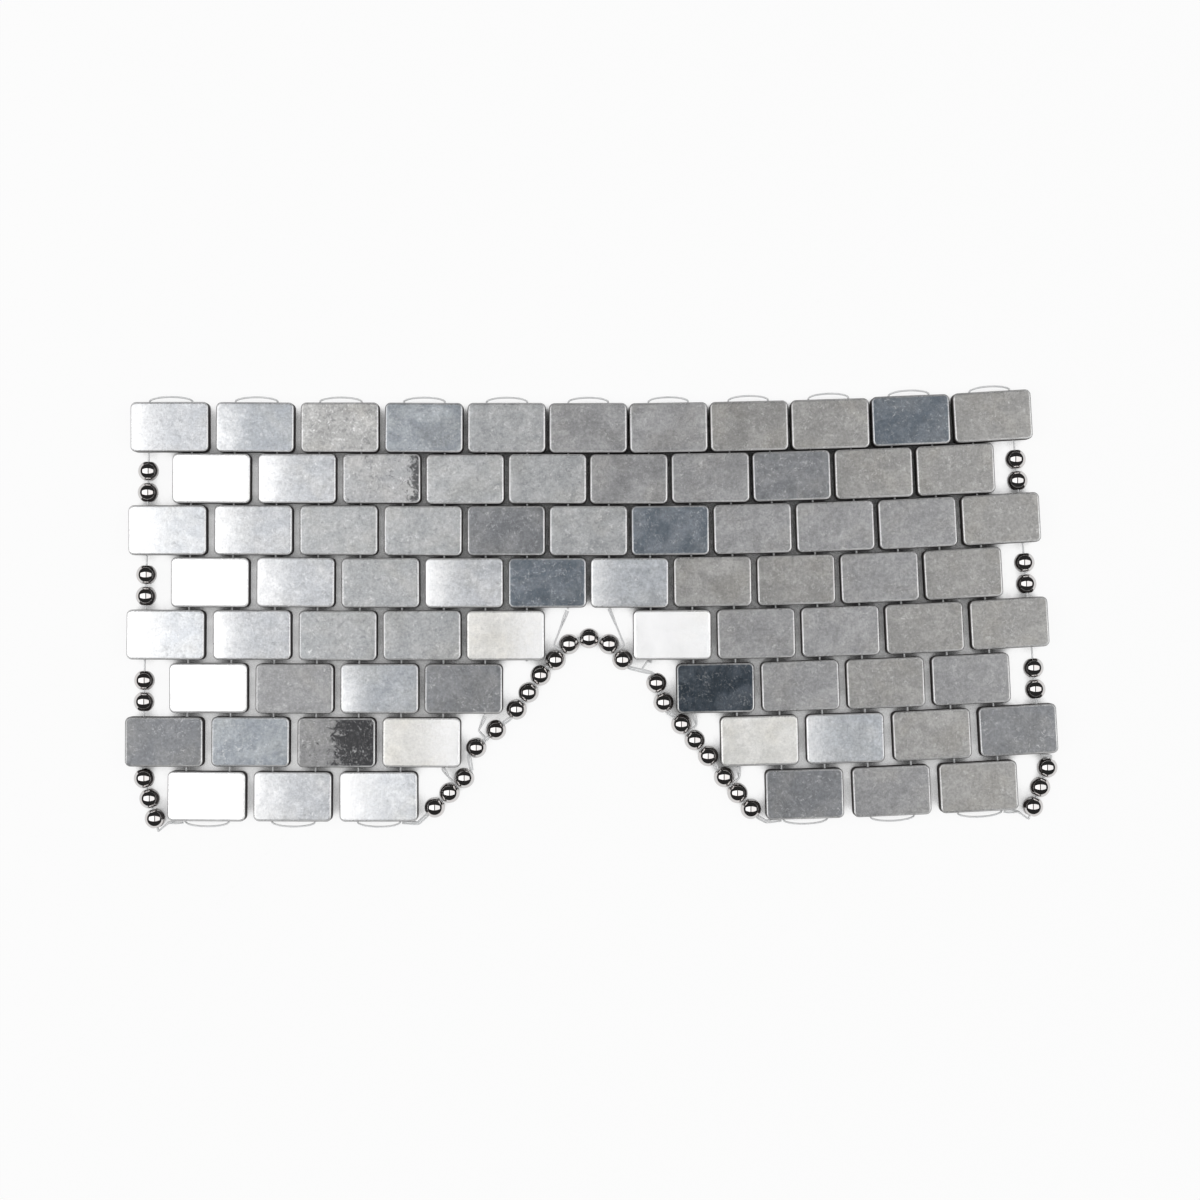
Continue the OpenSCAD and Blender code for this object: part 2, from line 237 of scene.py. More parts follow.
class SolidReader:
    """Finds the separate solids of a node and measures them.

    A triangle is upright where its normal rises less than upright, and belongs to a bore where it
    faces the solid's middle, by more than bore_facing.
    """

    sliver: ClassVar[float] = 1e-9
    upright: ClassVar[float] = 0.05
    bore_facing: ClassVar[float] = -0.2

    def __init__(self, node: str) -> None:
        """Reads the triangles of a node, in millimetres.

        Args:
            node: Name of the node.
        """
        mesh = frame["nodes"][node].data
        mesh.calc_loop_triangles()
        points = np.array([v.co for v in mesh.vertices]) / MM
        corners = np.array([t.vertices for t in mesh.loop_triangles])
        self.triangles = points[corners]
        self.solids = self._split(np.round(points, 4), corners)

    @staticmethod
    def _split(points: np.ndarray, corners: np.ndarray) -> list[np.ndarray]:
        """Groups the triangles that share points.

        Args:
            points: Corner places, rounded so that equal places match.
            corners: Point numbers of each triangle.

        Returns:
            The triangle numbers of each separate solid.
        """
        _, same = np.unique(points, axis=0, return_inverse=True)
        corners = same.ravel()[corners]
        label = np.arange(same.max() + 1)
        while True:
            least = label[corners].min(axis=1)
            fresh = label.copy()
            for i in range(3):
                np.minimum.at(fresh, corners[:, i], least)
            fresh = fresh[fresh]
            if np.array_equal(fresh, label):
                break
            label = fresh
        group = label[corners[:, 0]]
        return [np.flatnonzero(group == g) for g in np.unique(group)]

    def _areas(self, solid: np.ndarray) -> tuple[np.ndarray, np.ndarray, np.ndarray]:
        """Measures the triangles of one solid.

        Args:
            solid: Its triangle numbers.

        Returns:
            Middles, areas and unit normals of its triangles.
        """
        t = self.triangles[solid]
        cross = np.cross(t[:, 1] - t[:, 0], t[:, 2] - t[:, 0])
        length = np.linalg.norm(cross, axis=1)
        keep = length > self.sliver
        return t.mean(axis=1)[keep], length[keep] / 2, cross[keep] / length[keep, None]

    def _middle(self, solid: np.ndarray) -> np.ndarray:
        """Middle of the box round one solid."""
        points = self.triangles[solid].reshape(-1, 3)
        return (points.min(axis=0) + points.max(axis=0)) / 2

    def tile_spots(self) -> list[Spot]:
        """Finds the tiles of a column by the turn of their upright sides.

        Returns:
            Their places, from the top row down.
        """
        spots = []
        for solid in self.solids:
            _, areas, normals = self._areas(solid)
            upright = np.abs(normals[:, 2]) < self.upright
            angle = np.arctan2(normals[upright, 1], normals[upright, 0])
            across, along = areas[upright] * np.array([np.sin(4 * angle), np.cos(4 * angle)])
            turn = math.atan2(across.sum(), along.sum())
            spots.append(Spot(self._middle(solid), turn / 4))
        return sorted(spots, key=lambda s: -s.middle[1])

    def bead_spots(self) -> list[Spot]:
        """Finds the beads of a node by the direction of their bores.

        Returns:
            Their places, from the left.
        """
        spots = []
        for solid in self.solids:
            middles, areas, normals = self._areas(solid)
            centre = self._middle(solid)
            centre[:2] = (areas[:, None] * middles[:, :2]).sum(axis=0) / areas.sum()
            bore = (normals * (middles - centre)).sum(axis=1) < self.bore_facing
            out = middles[bore, :2] - centre[:2]
            spread = (areas[bore, None, None] * out[:, :, None] * out[:, None, :]).sum(axis=0)
            values, vectors = np.linalg.eigh(spread)
            way = vectors[:, int(np.argmax(values))]
            way = way * (-1 if way[0] < 0 else 1)
            spots.append(Spot(centre, math.atan2(way[1], way[0])))
        return sorted(spots, key=lambda s: s.middle[0])


# Finishes


@dataclass(frozen=True)
class Cloud:
    """One layer of cloudy values, which its levels can spread to the full range.

    Its coordinates are turned about the upright axis and stretched first, where it has a stretch.
    """

    scale: float
    detail: float
    rough: float = 0.55
    bend: float = 0.0
    levels: tuple[float, float] = (0.0, 1.0)
    stretch: tuple[float, float, float] | None = None
    turn: float = 0.0


class Wiring:
    """Short way of wiring the nodes of a shader."""

    def __init__(self, tree: bpy.types.NodeTree) -> None:
        """Empties a node tree, to wire it anew.

        Args:
            tree: The tree.
        """
        self.tree = tree
        self.tree.nodes.clear()

    def node(self, kind: str) -> bpy.types.Node:
        """Adds a node of a kind."""
        return self.tree.nodes.new(f"ShaderNode{kind}")

    @staticmethod
    def is_output(value: Input) -> bool:
        """Whether a value is another node's output, not a number or a colour."""
        return isinstance(value, tuple) and isinstance(value[0], bpy.types.Node)

    def feed(self, node: bpy.types.Node, socket: int | str, value: Input) -> None:
        """Sets an input to a plain value, or joins it to another node's output.

        Args:
            node: Node that takes the value.
            socket: Its input, by number or name.
            value: The number, the colour or the output.
        """
        if self.is_output(value):
            self.tree.links.new(value[0].outputs[value[1]], node.inputs[socket])
        else:
            node.inputs[socket].default_value = value

    def attribute(self, name: str, kind: str = "Vector") -> Output:
        """Reads an attribute of the mesh.

        Args:
            name: Name of the attribute.
            kind: Vector, or Fac for a single number.

        Returns:
            The output that holds it.
        """
        node = self.node("Attribute")
        node.attribute_name = name
        return node, kind

    def object_place(self) -> Output:
        """Place on the piece at rest, in metres."""
        return self.node("TexCoord"), "Object"

    def split(self, vector: Output) -> bpy.types.Node:
        """Parts a vector into its three numbers.

        Args:
            vector: The vector.

        Returns:
            The node, with one output for each number.
        """
        node = self.node("SeparateXYZ")
        self.feed(node, 0, vector)
        return node

    def joined(self, *values: Input) -> Output:
        """Puts three numbers together as a vector or a colour.

        Args:
            values: The numbers.

        Returns:
            The output that holds the vector.
        """
        node = self.node("CombineXYZ")
        for i, value in enumerate(values):
            self.feed(node, i, value)
        return node, 0

    def maths(self, kind: str, *values: Input, clamp: bool = False) -> Output:
        """Works a number out of one to three others.

        Args:
            kind: The operation.
            values: What it works on.
            clamp: Whether the result is kept between 0 and 1.

        Returns:
            The output that holds the number.
        """
        node = self.node("Math")
        node.operation = kind
        node.use_clamp = clamp
        for i, value in enumerate(values):
            self.feed(node, i, value)
        return node, 0

    def plus(self, one: Input, two: Input) -> Output:
        """Sum of two numbers."""
        return self.maths("ADD", one, two)

    def minus(self, one: Input, two: Input) -> Output:
        """Difference of two numbers."""
        return self.maths("SUBTRACT", one, two)

    def times(self, one: Input, two: Input) -> Output:
        """Product of two numbers."""
        return self.maths("MULTIPLY", one, two)

    def vector(self, kind: str, *values: Input) -> Output:
        """Works a vector out of others.

        Args:
            kind: The operation.
            values: What it works on.

        Returns:
            The output that holds the vector.
        """
        node = self.node("VectorMath")
        node.operation = kind
        for i, value in enumerate(values):
            self.feed(node, i, value)
        return node, 0

    def mapped(self, coords: Output, scale: tuple[float, float, float], turn: float) -> Output:
        """Turns coordinates about the upright axis and then stretches them.

        Args:
            coords: The coordinates.
            scale: Stretch along each axis.
            turn: The turn, in radians.

        Returns:
            The output that holds the new coordinates.
        """
        turned = self.node("VectorRotate")
        turned.rotation_type = "Z_AXIS"
        self.feed(turned, "Vector", coords)
        turned.inputs["Angle"].default_value = turn
        return self.vector("MULTIPLY", (turned, 0), scale)

    def noise(self, coords: Output, cloud: Cloud) -> Output:
        """Makes the values of a layer as they come.

        Args:
            coords: Its coordinates.
            cloud: The layer.

        Returns:
            The output that holds the values, about 0.5 on average.
        """
        if cloud.stretch:
            coords = self.mapped(coords, cloud.stretch, cloud.turn)
        node = self.node("TexNoise")
        self.feed(node, "Vector", coords)
        node.inputs["Scale"].default_value = cloud.scale
        node.inputs["Detail"].default_value = cloud.detail
        node.inputs["Roughness"].default_value = cloud.rough
        node.inputs["Distortion"].default_value = cloud.bend
        return node, "Fac"

    def layer(
        self, coords: Output, cloud: Cloud, to: tuple[float, float] = (0.0, 1.0)
    ) -> Output:
        """Makes the values of a layer, spread between its levels.

        Args:
            coords: Its coordinates.
            cloud: The layer.
            to: The range that its levels are spread to.

        Returns:
            The output that holds the values.
        """
        return self.ramp(self.noise(coords, cloud), *cloud.levels, to)

    def cells(self, coords: Output, scale: float) -> Output:
        """Measures the distance to the lines of an irregular net.

        Args:
            coords: Coordinates of the net.
            scale: How many meshes there are to a unit.

        Returns:
            The output that holds the distance.
        """
        node = self.node("TexVoronoi")
        node.feature = "DISTANCE_TO_EDGE"
        self.feed(node, "Vector", coords)
        node.inputs["Scale"].default_value = scale
        return node, "Distance"

    def ramp(
        self, value: Input, low: Input, high: Input, to: tuple[Input, Input] = (0.0, 1.0)
    ) -> Output:
        """Spreads a value smoothly from one range to another.

        Args:
            value: The value.
            low: Where its range starts.
            high: Where its range ends.
            to: The new range.

        Returns:
            The output that holds the new value.
        """
        node = self.node("MapRange")
        node.interpolation_type = "SMOOTHSTEP"
        self.feed(node, "Value", value)
        for socket, level in zip(("From Min", "From Max", "To Min", "To Max"), (low, high, *to)):
            self.feed(node, socket, level)
        return node, "Result"

    def mix(self, factor: Input, one: Input, two: Input, kind: str = "MIX") -> Output:
        """Mixes two colours.

        Args:
            factor: Share of the second colour.
            one: The first colour.
            two: The second colour.
            kind: How they are mixed.

        Returns:
            The output that holds the mixed colour.
        """
        node = self.node("Mix")
        node.data_type = "RGBA"
        node.blend_type = kind
        self.feed(node, 0, factor)
        for socket, value in ((6, one), (7, two)):
            self.feed(node, socket, value if self.is_output(value) else (*value, 1.0))
        return node, 2

    def bump(
        self, height: Output, strength: float, distance: float, under: Output | None = None
    ) -> Output:
        """Makes a small relief.

        Args:
            height: The height of the relief.
            strength: Its share.
            distance: Its depth, in metres.
            under: Relief that it lies on.

        Returns:
            The output that holds the normal.
        """
        node = self.node("Bump")
        node.inputs["Strength"].default_value = strength
        node.inputs["Distance"].default_value = distance
        self.feed(node, "Height", height)
        if under is not None:
            self.feed(node, "Normal", under)
        return node, 0


class Shader(Wiring):
    """The wiring of one material, round a principled shader."""

    def __init__(self, name: str) -> None:
        """Makes a material that holds an output and the shader alone.

        Args:
            name: Name of the material.
        """
        self.material = bpy.data.materials.new(name)
        self.material.use_nodes = True
        super().__init__(self.material.node_tree)
        self.output = self.node("OutputMaterial")
        self.shader = self.node("BsdfPrincipled")
        self.feed(self.output, "Surface", (self.shader, 0))


@dataclass(frozen=True)
class TileSurface:
    """What the finishes of all tiles share; lengths are in millimetres.

    The wall is the side of a tile, from the rounded edge down, painted dark as shade in the gaps,
    and the rim is the narrow band just inside the edge, painted pale as a highlight. Each scratch
    row holds the turn, the stretch and the bed level of one direction.
    """

    seed_shift: tuple[float, float, float] = (91.0, 57.0, 33.0)
    clouds: Cloud = Cloud(0.17, 5.0, 0.66, 0.7, (0.36, 0.66))
    warmth: Cloud = Cloud(0.13, 3.0, 0.55, 0.0, (0.45, 0.7))
    warm_share: float = 0.8
    warm_tint: Colour = (1.01, 0.995, 0.965)
    shades: tuple[float, float] = (0.95, 1.05)
    patches: Cloud = Cloud(0.75, 3.0, 0.6, 0.4, (0.32, 0.68))
    patch_depth: float = 0.075
    grains: Cloud = Cloud(1.7, 5.0, 0.85, 0.0, (0.36, 0.64))
    grain_depth: float = 0.16
    blots: Cloud = Cloud(0.55, 9.0, 0.76, 1.5, (0.56, 0.68))
    blot_width: float = 8.0
    blot_lift: float = 0.3
    blot_colour: Colour = (0.035, 0.035, 0.038)
    flecks: Cloud = Cloud(1.3, 7.0, 0.8, 0.9, (0.54, 0.64))
    fleck_share: float = 0.85
    fleck_beds: Cloud = Cloud(0.24, 3.0, 0.6, 0.0, (0.42, 0.62))
    fleck_thin: float = 0.2
    fleck_colour: Colour = (0.95, 0.95, 0.95)
    soot: Cloud = Cloud(0.8, 8.0, 0.74, 0.3, (0.47, 0.32))
    soot_share: float = 0.55
    soot_colour: Colour = (0.09, 0.095, 0.105)
    # glare_*: a painted highlight, lamp glare that whitens a tile from one side, with a ragged
    # front.
    glare_grit: Cloud = Cloud(1.6, 6.0, 0.75)
    glare_waver: float = 12.0
    glare_fade: tuple[float, float] = (4.0, -7.0)
    painted_glare_colour: Colour = (0.98, 0.98, 0.985)
    scratch_bend: Cloud = Cloud(0.6, 2.0)
    scratch_sway: tuple[float, float, float] = (0.8, 0.8, 0.0)
    scratch_net: float = 0.8
    scratch_across: float = 1.4
    scratch_width: tuple[float, float] = (0.05, 0.01)
    scratch_beds: Cloud = Cloud(0.55, 6.0, 0.75)
    scratch_rows: tuple[tuple[float, float, float], ...] = (
        (0.95, 0.2, 0.56),
        (-0.7, 0.16, 0.59),
        (1.45, 0.24, 0.58),
    )
    bed_edge: float = 0.05
    scratch_share: float = 0.8
    scratch_colour: Colour = (0.97, 0.97, 0.98)
    brush: Cloud = Cloud(1.0, 3.0, 0.6, 0.0, (0.35, 0.7), (7.0, 0.45, 1.0), 0.12)
    brush_share: float = 0.1
    brush_colour: Colour = (0.2, 0.2, 0.2)
    cross: Cloud = Cloud(1.0, 2.0, 0.6, 0.0, (0.3, 0.7), (0.6, 9.0, 1.0), -0.5)
    # wall_*: painted shade, the sides of a tile darkened, duller and less metallic where the gaps
    # between tiles are in shade.
    wall_depth: tuple[float, float] = (0.13, 0.34)
    wall_shade_share: float = 0.92
    wall_shade_colour: Colour = (0.075, 0.066, 0.064)
    wall_metal_loss: float = 0.4
    wall_dullness: float = 0.35
    # rim_*: a painted highlight, a pale band just inside the edge, less metallic and smoother,
    # stronger at the bottom and the right, for lamp light caught by the rounded edge.
    rim_width: tuple[float, float] = (0.5, 0.34)
    rim_down: tuple[float, float] = (5.0, -5.0)
    rim_across: tuple[float, float] = (-8.0, 8.0)
    rim_highlight_breakup: Cloud = Cloud(0.4, 6.0, 0.7, 0.0, (0.3, 0.55))
    rim_shares: tuple[float, float] = (0.6, 1.0)
    rim_highlight_colour: Colour = (0.93, 0.93, 0.93)
    rim_metal_loss: float = 0.35
    rim_polish: float = 0.2
    dull_levels: tuple[float, float] = (0.3, 0.7)
    cloud_dullness: tuple[float, float] = (-0.05, 0.07)
    cross_dullness: tuple[float, float] = (-0.03, 0.05)
    relief_shares: tuple[float, float, float] = (0.4, 0.3, 0.8)
    relief: tuple[float, float] = (0.35, 0.00002)
    waves: Cloud = Cloud(0.2, 2.0, 0.5)
    wave_relief: tuple[float, float] = (0.6, 0.00012)


SURFACE = TileSurface()


@dataclass(frozen=True)
class SatinMetal:
    """Finish of a tile: satin metal with clouds, flecks, brushing and scratches, a rim painted pale
    as a highlight and a wall painted dark as shade.

    The colour drifts to the cloud colour in patches. A painted highlight, lamp glare, whitens the
    tile from one side, -1 for the left one, as far as its reach beyond the middle. Dark blots
    darken it, more towards its right side, from blot_from on. Marks is the share of scratches.
    """

    name: str
    colour: Colour
    cloud: Colour
    flecks: float = 0.5
    marks: float = 0.5
    # Share of dark blots, more of them towards the right side of the tile, from blot_from on.
    stain: float = 0.0
    blot_from: float = -4.0
    # Strength of the painted highlight, lamp glare from one side of the tile.
    painted_glare: float = 0.0
    reach: float = 0.0
    glare_side: int = -1
    grain: float = 1.0
    # Share of the painted rim highlight.
    rim: float = 0.95
    roughness: float = 0.36
    metal: float = 0.85

    def material(self) -> bpy.types.Material:
        """Builds the shader.

        Returns:
            The material of this finish.
        """
        n = Shader(f"tile_{self.name}")
        place, seed = n.attribute("place"), n.attribute("seed", "Fac")
        shift = n.joined(*(n.times(seed, rate) for rate in SURFACE.seed_shift))
        spot = n.vector("ADD", place, shift)
        split = n.split(place)
        clouds = n.noise(spot, SURFACE.clouds)
        lines = self._scratches(n, spot)
        brush, cross = n.noise(spot, SURFACE.brush), n.noise(spot, SURFACE.cross)
        wall, wear_and_rim_highlight = self._painted_wall_and_rim(n, spot, split)

        colour = n.mix(n.ramp(clouds, *SURFACE.clouds.levels), self.colour, self.cloud)
        colour = self._grained(n, spot, seed, colour)
        # Dark blots, denser towards the right side of the tile.
        if self.stain:
            colour = self._stained(n, spot, split, colour)
        colour = self._flecked(n, spot, colour)
        # Painted highlight: lamp glare from one side of the tile.
        if self.painted_glare:
            colour = self._paint_glare(n, spot, split, clouds, colour)
        marks = n.times(lines, SURFACE.scratch_share * self.marks)
        colour = n.mix(marks, colour, SURFACE.scratch_colour)
        most = SURFACE.brush_share * self.grain
        brushed = n.ramp(brush, *SURFACE.brush.levels, (0.0, most))
        colour = n.mix(brushed, colour, SURFACE.brush_colour)
        # Painted highlight on the rim, then painted shade on the wall.
        colour = n.mix(n.times(wear_and_rim_highlight, self.rim), colour, SURFACE.rim_highlight_colour)
        colour = n.mix(n.times(wall, SURFACE.wall_shade_share), colour, SURFACE.wall_shade_colour)
        n.feed(n.shader, "Base Color", colour)

        # The painted rim highlight and wall shade also take metal away and change the roughness.
        metal = n.minus(self.metal, n.times(wear_and_rim_highlight, SURFACE.rim_metal_loss))
        metal = n.minus(metal, n.times(wall, SURFACE.wall_metal_loss))
        n.feed(n.shader, "Metallic", metal)
        rough = n.ramp(clouds, *SURFACE.dull_levels, SURFACE.cloud_dullness)
        rough = n.plus(rough, self.roughness)
        rough = n.plus(rough, n.ramp(cross, *SURFACE.cross.levels, SURFACE.cross_dullness))
        rough = n.minus(rough, n.times(wear_and_rim_highlight, SURFACE.rim_polish))
        rough = n.plus(rough, n.times(wall, SURFACE.wall_dullness))
        n.feed(n.shader, "Roughness", rough)
        shares = SURFACE.relief_shares
        relief = n.plus(n.times(brush, shares[0]), n.times(cross, shares[1]))
        relief = n.minus(relief, n.times(lines, shares[2]))
        wave = n.bump(n.noise(spot, SURFACE.waves), *SURFACE.wave_relief)
        n.feed(n.shader, "Normal", n.bump(relief, *SURFACE.relief, wave))
        return n.material

    def _grained(self, n: Shader, spot: Output, seed: Output, colour: Output) -> Output:
        """Gives a colour its warm patches, its fine grain and its shade from tile to tile.

        Args:
            n: The shader being wired.
            spot: Coordinates in millimetres.
            seed: Number of the tile, from 0 to 1.
            colour: The colour under the grain.

        Returns:
            The output that holds the grained colour.
        """
        warm = n.layer(spot, SURFACE.warmth, (0.0, SURFACE.warm_share))
        colour = n.mix(warm, colour, n.mix(1.0, colour, SURFACE.warm_tint, "MULTIPLY"))
        patch, grain = SURFACE.patch_depth * self.grain, SURFACE.grain_depth * self.grain
        parts = (
            n.ramp(seed, 0.0, 1.0, SURFACE.shades),
            n.layer(spot, SURFACE.patches, (1 - patch, 1 + patch)),
            n.layer(spot, SURFACE.grains, (1 - grain, 1 + grain)),
        )
        for part in parts:
            colour = n.mix(1.0, colour, n.joined(part, part, part), "MULTIPLY")
        return colour

    def _stained(
        self, n: Shader, spot: Output, split: bpy.types.Node, colour: Output
    ) -> Output:
        """Darkens the right part of a colour with blots.

        Args:
            n: The shader being wired.
            spot: Coordinates in millimetres.
            split: Node with the place on the tile, in three outputs.
            colour: The colour under the blots.

        Returns:
            The output that holds the blotted colour.
        """
        side = n.ramp((split, 0), self.blot_from, self.blot_from + SURFACE.blot_width)
        blot = n.plus(n.noise(spot, SURFACE.blots), n.times(side, SURFACE.blot_lift))
        blot = n.times(n.ramp(blot, *SURFACE.blots.levels), self.stain)
        return n.mix(blot, colour, SURFACE.blot_colour)

    def _flecked(self, n: Shader, spot: Output, colour: Output) -> Output:
        """Lays small pale and dark flecks over a colour.

        Args:
            n: The shader being wired.
            spot: Coordinates in millimetres.
            colour: The colour under the flecks.

        Returns:
            The output that holds the flecked colour.
        """
        fine = n.layer(spot, SURFACE.flecks, (0.0, SURFACE.fleck_share * self.flecks))
        beds = n.layer(spot, SURFACE.fleck_beds, (SURFACE.fleck_thin, 1.0))
        colour = n.mix(n.times(fine, beds), colour, SURFACE.fleck_colour)
        soot = n.layer(spot, SURFACE.soot, (0.0, SURFACE.soot_share * self.flecks))
        return n.mix(soot, colour, SURFACE.soot_colour)

    def _paint_glare(
        self, n: Shader, spot: Output, split: bpy.types.Node, clouds: Output, colour: Output
    ) -> Output:
        """Paints a highlight: whitens a colour from one side of the tile, as glare from a lamp on
        that side.

        Args:
            n: The shader being wired.
            spot: Coordinates in millimetres.
            split: Node with the place on the tile, in three outputs.
            clouds: Values by which the painted glare wanders.
            colour: The colour under the painted glare.

        Returns:
            The output that holds the whitened colour.
        """
        wander, grit = (
            n.times(n.minus(values, 0.5), SURFACE.glare_waver)
            for values in (clouds, n.noise(spot, SURFACE.glare_grit))
        )
        from_side = n.times((split, 0), float(-self.glare_side))
        side = n.plus(n.plus(from_side, wander), grit)
        start, end = (self.reach + fade for fade in SURFACE.glare_fade)
        side = n.times(n.ramp(side, start, end), self.painted_glare)
        return n.mix(side, colour, SURFACE.painted_glare_colour)

    @staticmethod
    def _scratches(n: Shader, spot: Output) -> Output:
        """Draws sparse thin scratches in three directions.

        Args:
            n: The shader being wired.
            spot: Coordinates in millimetres.

        Returns:
            The output that holds 1 on a scratch and 0 off it.
        """
        total = None
        waver = (n.noise(spot, SURFACE.scratch_bend)[0], "Color")
        bent = n.vector("ADD", spot, n.vector("MULTIPLY", waver, SURFACE.scratch_sway))
        for turn, stretch, cut in SURFACE.scratch_rows:
            along = n.mapped(bent, (stretch, SURFACE.scratch_across, 1.0), turn)
            thin = n.ramp(n.cells(along, SURFACE.scratch_net), *SURFACE.scratch_width)
            beds = n.noise(n.mapped(spot, (1.0, 1.0, 1.0), turn), SURFACE.scratch_beds)
            mark = n.times(thin, n.ramp(beds, cut, cut + SURFACE.bed_edge))
            total = mark if total is None else n.maths("MAXIMUM", total, mark)
        return total

    @staticmethod
    def _painted_wall_and_rim(n: Shader, spot: Output, split: bpy.types.Node) -> tuple[Output, Output]:
        """Finds the wall of the tile, painted dark as shade, and its rim, painted pale as a
        highlight.

        Args:
            n: The shader being wired.
            spot: Coordinates in millimetres.
            split: Node with the place on the tile, in three outputs.

        Returns:
            The outputs that hold 1 on the wall and up to 1 on the rim, for the painted shade and
            highlight.
        """
        depth = n.minus(WEAVE.tile_t / 2, n.maths("ABSOLUTE", (split, 2)))
        wall = n.ramp(depth, *SURFACE.wall_depth)
        rim = n.ramp(SatinMetal._inset(n, split), *SURFACE.rim_width)
        wear_and_rim_highlight = n.maths("SUBTRACT", rim, wall, clamp=True)
        # The painted rim highlight is stronger at the bottom and the right of the tile, and broken
        # up by noise.
        wear_and_rim_highlight = n.times(wear_and_rim_highlight, n.ramp((split, 1), *SURFACE.rim_down, SURFACE.rim_shares))
        wear_and_rim_highlight = n.times(wear_and_rim_highlight, n.ramp((split, 0), *SURFACE.rim_across, SURFACE.rim_shares))
        return wall, n.times(wear_and_rim_highlight, n.layer(spot, SURFACE.rim_highlight_breakup, SURFACE.rim_shares))

    @staticmethod
    def _inset(n: Shader, split: bpy.types.Node) -> Output:
        """Measures the distance inside the tile's rounded outline, in millimetres.

        Args:
            n: The shader being wired.
            split: Node with the place on the tile, in three outputs.

        Returns:
            The output that holds the distance.
        """
        form = TileForm()
        out = []
        for i, half in ((0, form.width / 2), (1, form.height / 2)):
            out.append(n.minus(n.maths("ABSOLUTE", (split, i)), half - form.corner))
        squares = [n.maths("POWER", n.maths("MAXIMUM", o, 0.0), 2.0) for o in out]
        beyond = n.maths("SQRT", n.plus(*squares))
        within = n.maths("MINIMUM", n.maths("MAXIMUM", *out), 0.0)
        return n.minus(form.corner, n.plus(beyond, within))


class Tone(Enum):
    """The shades that the tiles of the mat come in, partly painted light.

    The white, bright, pale, lit and cream shades are largely lamp light caught by the tiles, and
    the spread of the others is partly the tiles' own tone and partly light that a tilted tile
    catches or misses.
    """

    WHITE = SatinMetal(
        "white", (1.0, 1.0, 1.0), (0.97, 0.975, 0.98), 0.15, 0.2, painted_glare=1.0, reach=5.0, grain=0.2
    )
    BRIGHT = SatinMetal(
        "bright", (0.6, 0.62, 0.65), (0.78, 0.795, 0.815), 0.6, 0.6, painted_glare=0.95, reach=-1.5,
        grain=0.8,
    )  # fmt: skip
    PALE = SatinMetal(
        "pale", (0.47, 0.485, 0.51), (0.62, 0.63, 0.65), 0.6, 0.5, painted_glare=0.95, reach=-3.5
    )
    SILVER = SatinMetal("silver", (0.38, 0.39, 0.4), (0.48, 0.485, 0.49), 0.65, 0.35)
    BLOTTED = SatinMetal("blotted", (0.4, 0.405, 0.415), (0.5, 0.5, 0.505), 0.8, 0.6, 0.85, 3.0)
    LIT = SatinMetal("lit", (0.37, 0.39, 0.42), (0.48, 0.5, 0.525), 0.5, 0.3, painted_glare=0.85, reach=-4.4)
    GREY = SatinMetal("grey", (0.287, 0.288, 0.294), (0.372, 0.372, 0.377), 0.4, 0.2)
    WARM = SatinMetal("warm", (0.295, 0.291, 0.284), (0.382, 0.376, 0.366), 0.45, 0.25)
    SPECKLED = SatinMetal(
        "speckled", (0.38, 0.378, 0.374), (0.55, 0.547, 0.54), 1.0, 0.7, grain=1.3
    )
    BLUE = SatinMetal("blue", (0.26, 0.282, 0.31), (0.39, 0.415, 0.44), 0.6, 0.35)
    STEEL = SatinMetal("steel", (0.19, 0.197, 0.21), (0.265, 0.27, 0.28), 0.5, 0.25)
    SLATE = SatinMetal("slate", (0.115, 0.138, 0.165), (0.19, 0.212, 0.24), 0.5, 0.25)
    NIGHT = SatinMetal("night", (0.026, 0.037, 0.05), (0.075, 0.09, 0.11), 0.3, 0.15)
    CREAM = SatinMetal(
        "cream", (0.66, 0.652, 0.63), (0.8, 0.79, 0.765), 0.3, 0.2, painted_glare=0.85, reach=-2.0,
        glare_side=1, grain=0.5,
    )  # fmt: skip
    IVORY = SatinMetal("ivory", (0.7, 0.695, 0.67), (0.82, 0.812, 0.79), 0.3, 0.2, grain=0.5)
    STAINED = SatinMetal("stained", (0.21, 0.21, 0.215), (0.34, 0.34, 0.34), 0.6, 0.4, 0.96)


# Tiles listed one by one with their shade. They are partly painted light: a tile paler or darker
# than its neighbours stands partly for lamp light that its tilt catches or misses.
MARKED_TILES: dict[tuple[int, int], Tone] = {
    (1, 1): Tone.PALE, (1, 3): Tone.LIT, (1, 5): Tone.SPECKLED, (1, 7): Tone.BLUE,
    (1, 11): Tone.GREY, (1, 19): Tone.SLATE, (2, 6): Tone.BLOTTED, (2, 16): Tone.STEEL,
    (3, 9): Tone.STEEL, (3, 13): Tone.SLATE, (4, 8): Tone.PALE, (4, 10): Tone.SLATE,
    (4, 12): Tone.LIT, (5, 9): Tone.CREAM, (5, 13): Tone.WHITE, (6, 4): Tone.GREY,
    (6, 6): Tone.LIT, (6, 8): Tone.STEEL, (6, 14): Tone.NIGHT, (7, 1): Tone.STEEL,
    (7, 3): Tone.BLUE, (7, 5): Tone.STAINED, (7, 7): Tone.CREAM, (7, 15): Tone.IVORY,
    (7, 17): Tone.LIT, (7, 21): Tone.STEEL, (8, 6): Tone.BRIGHT, (8, 16): Tone.STEEL,
}  # fmt: skip


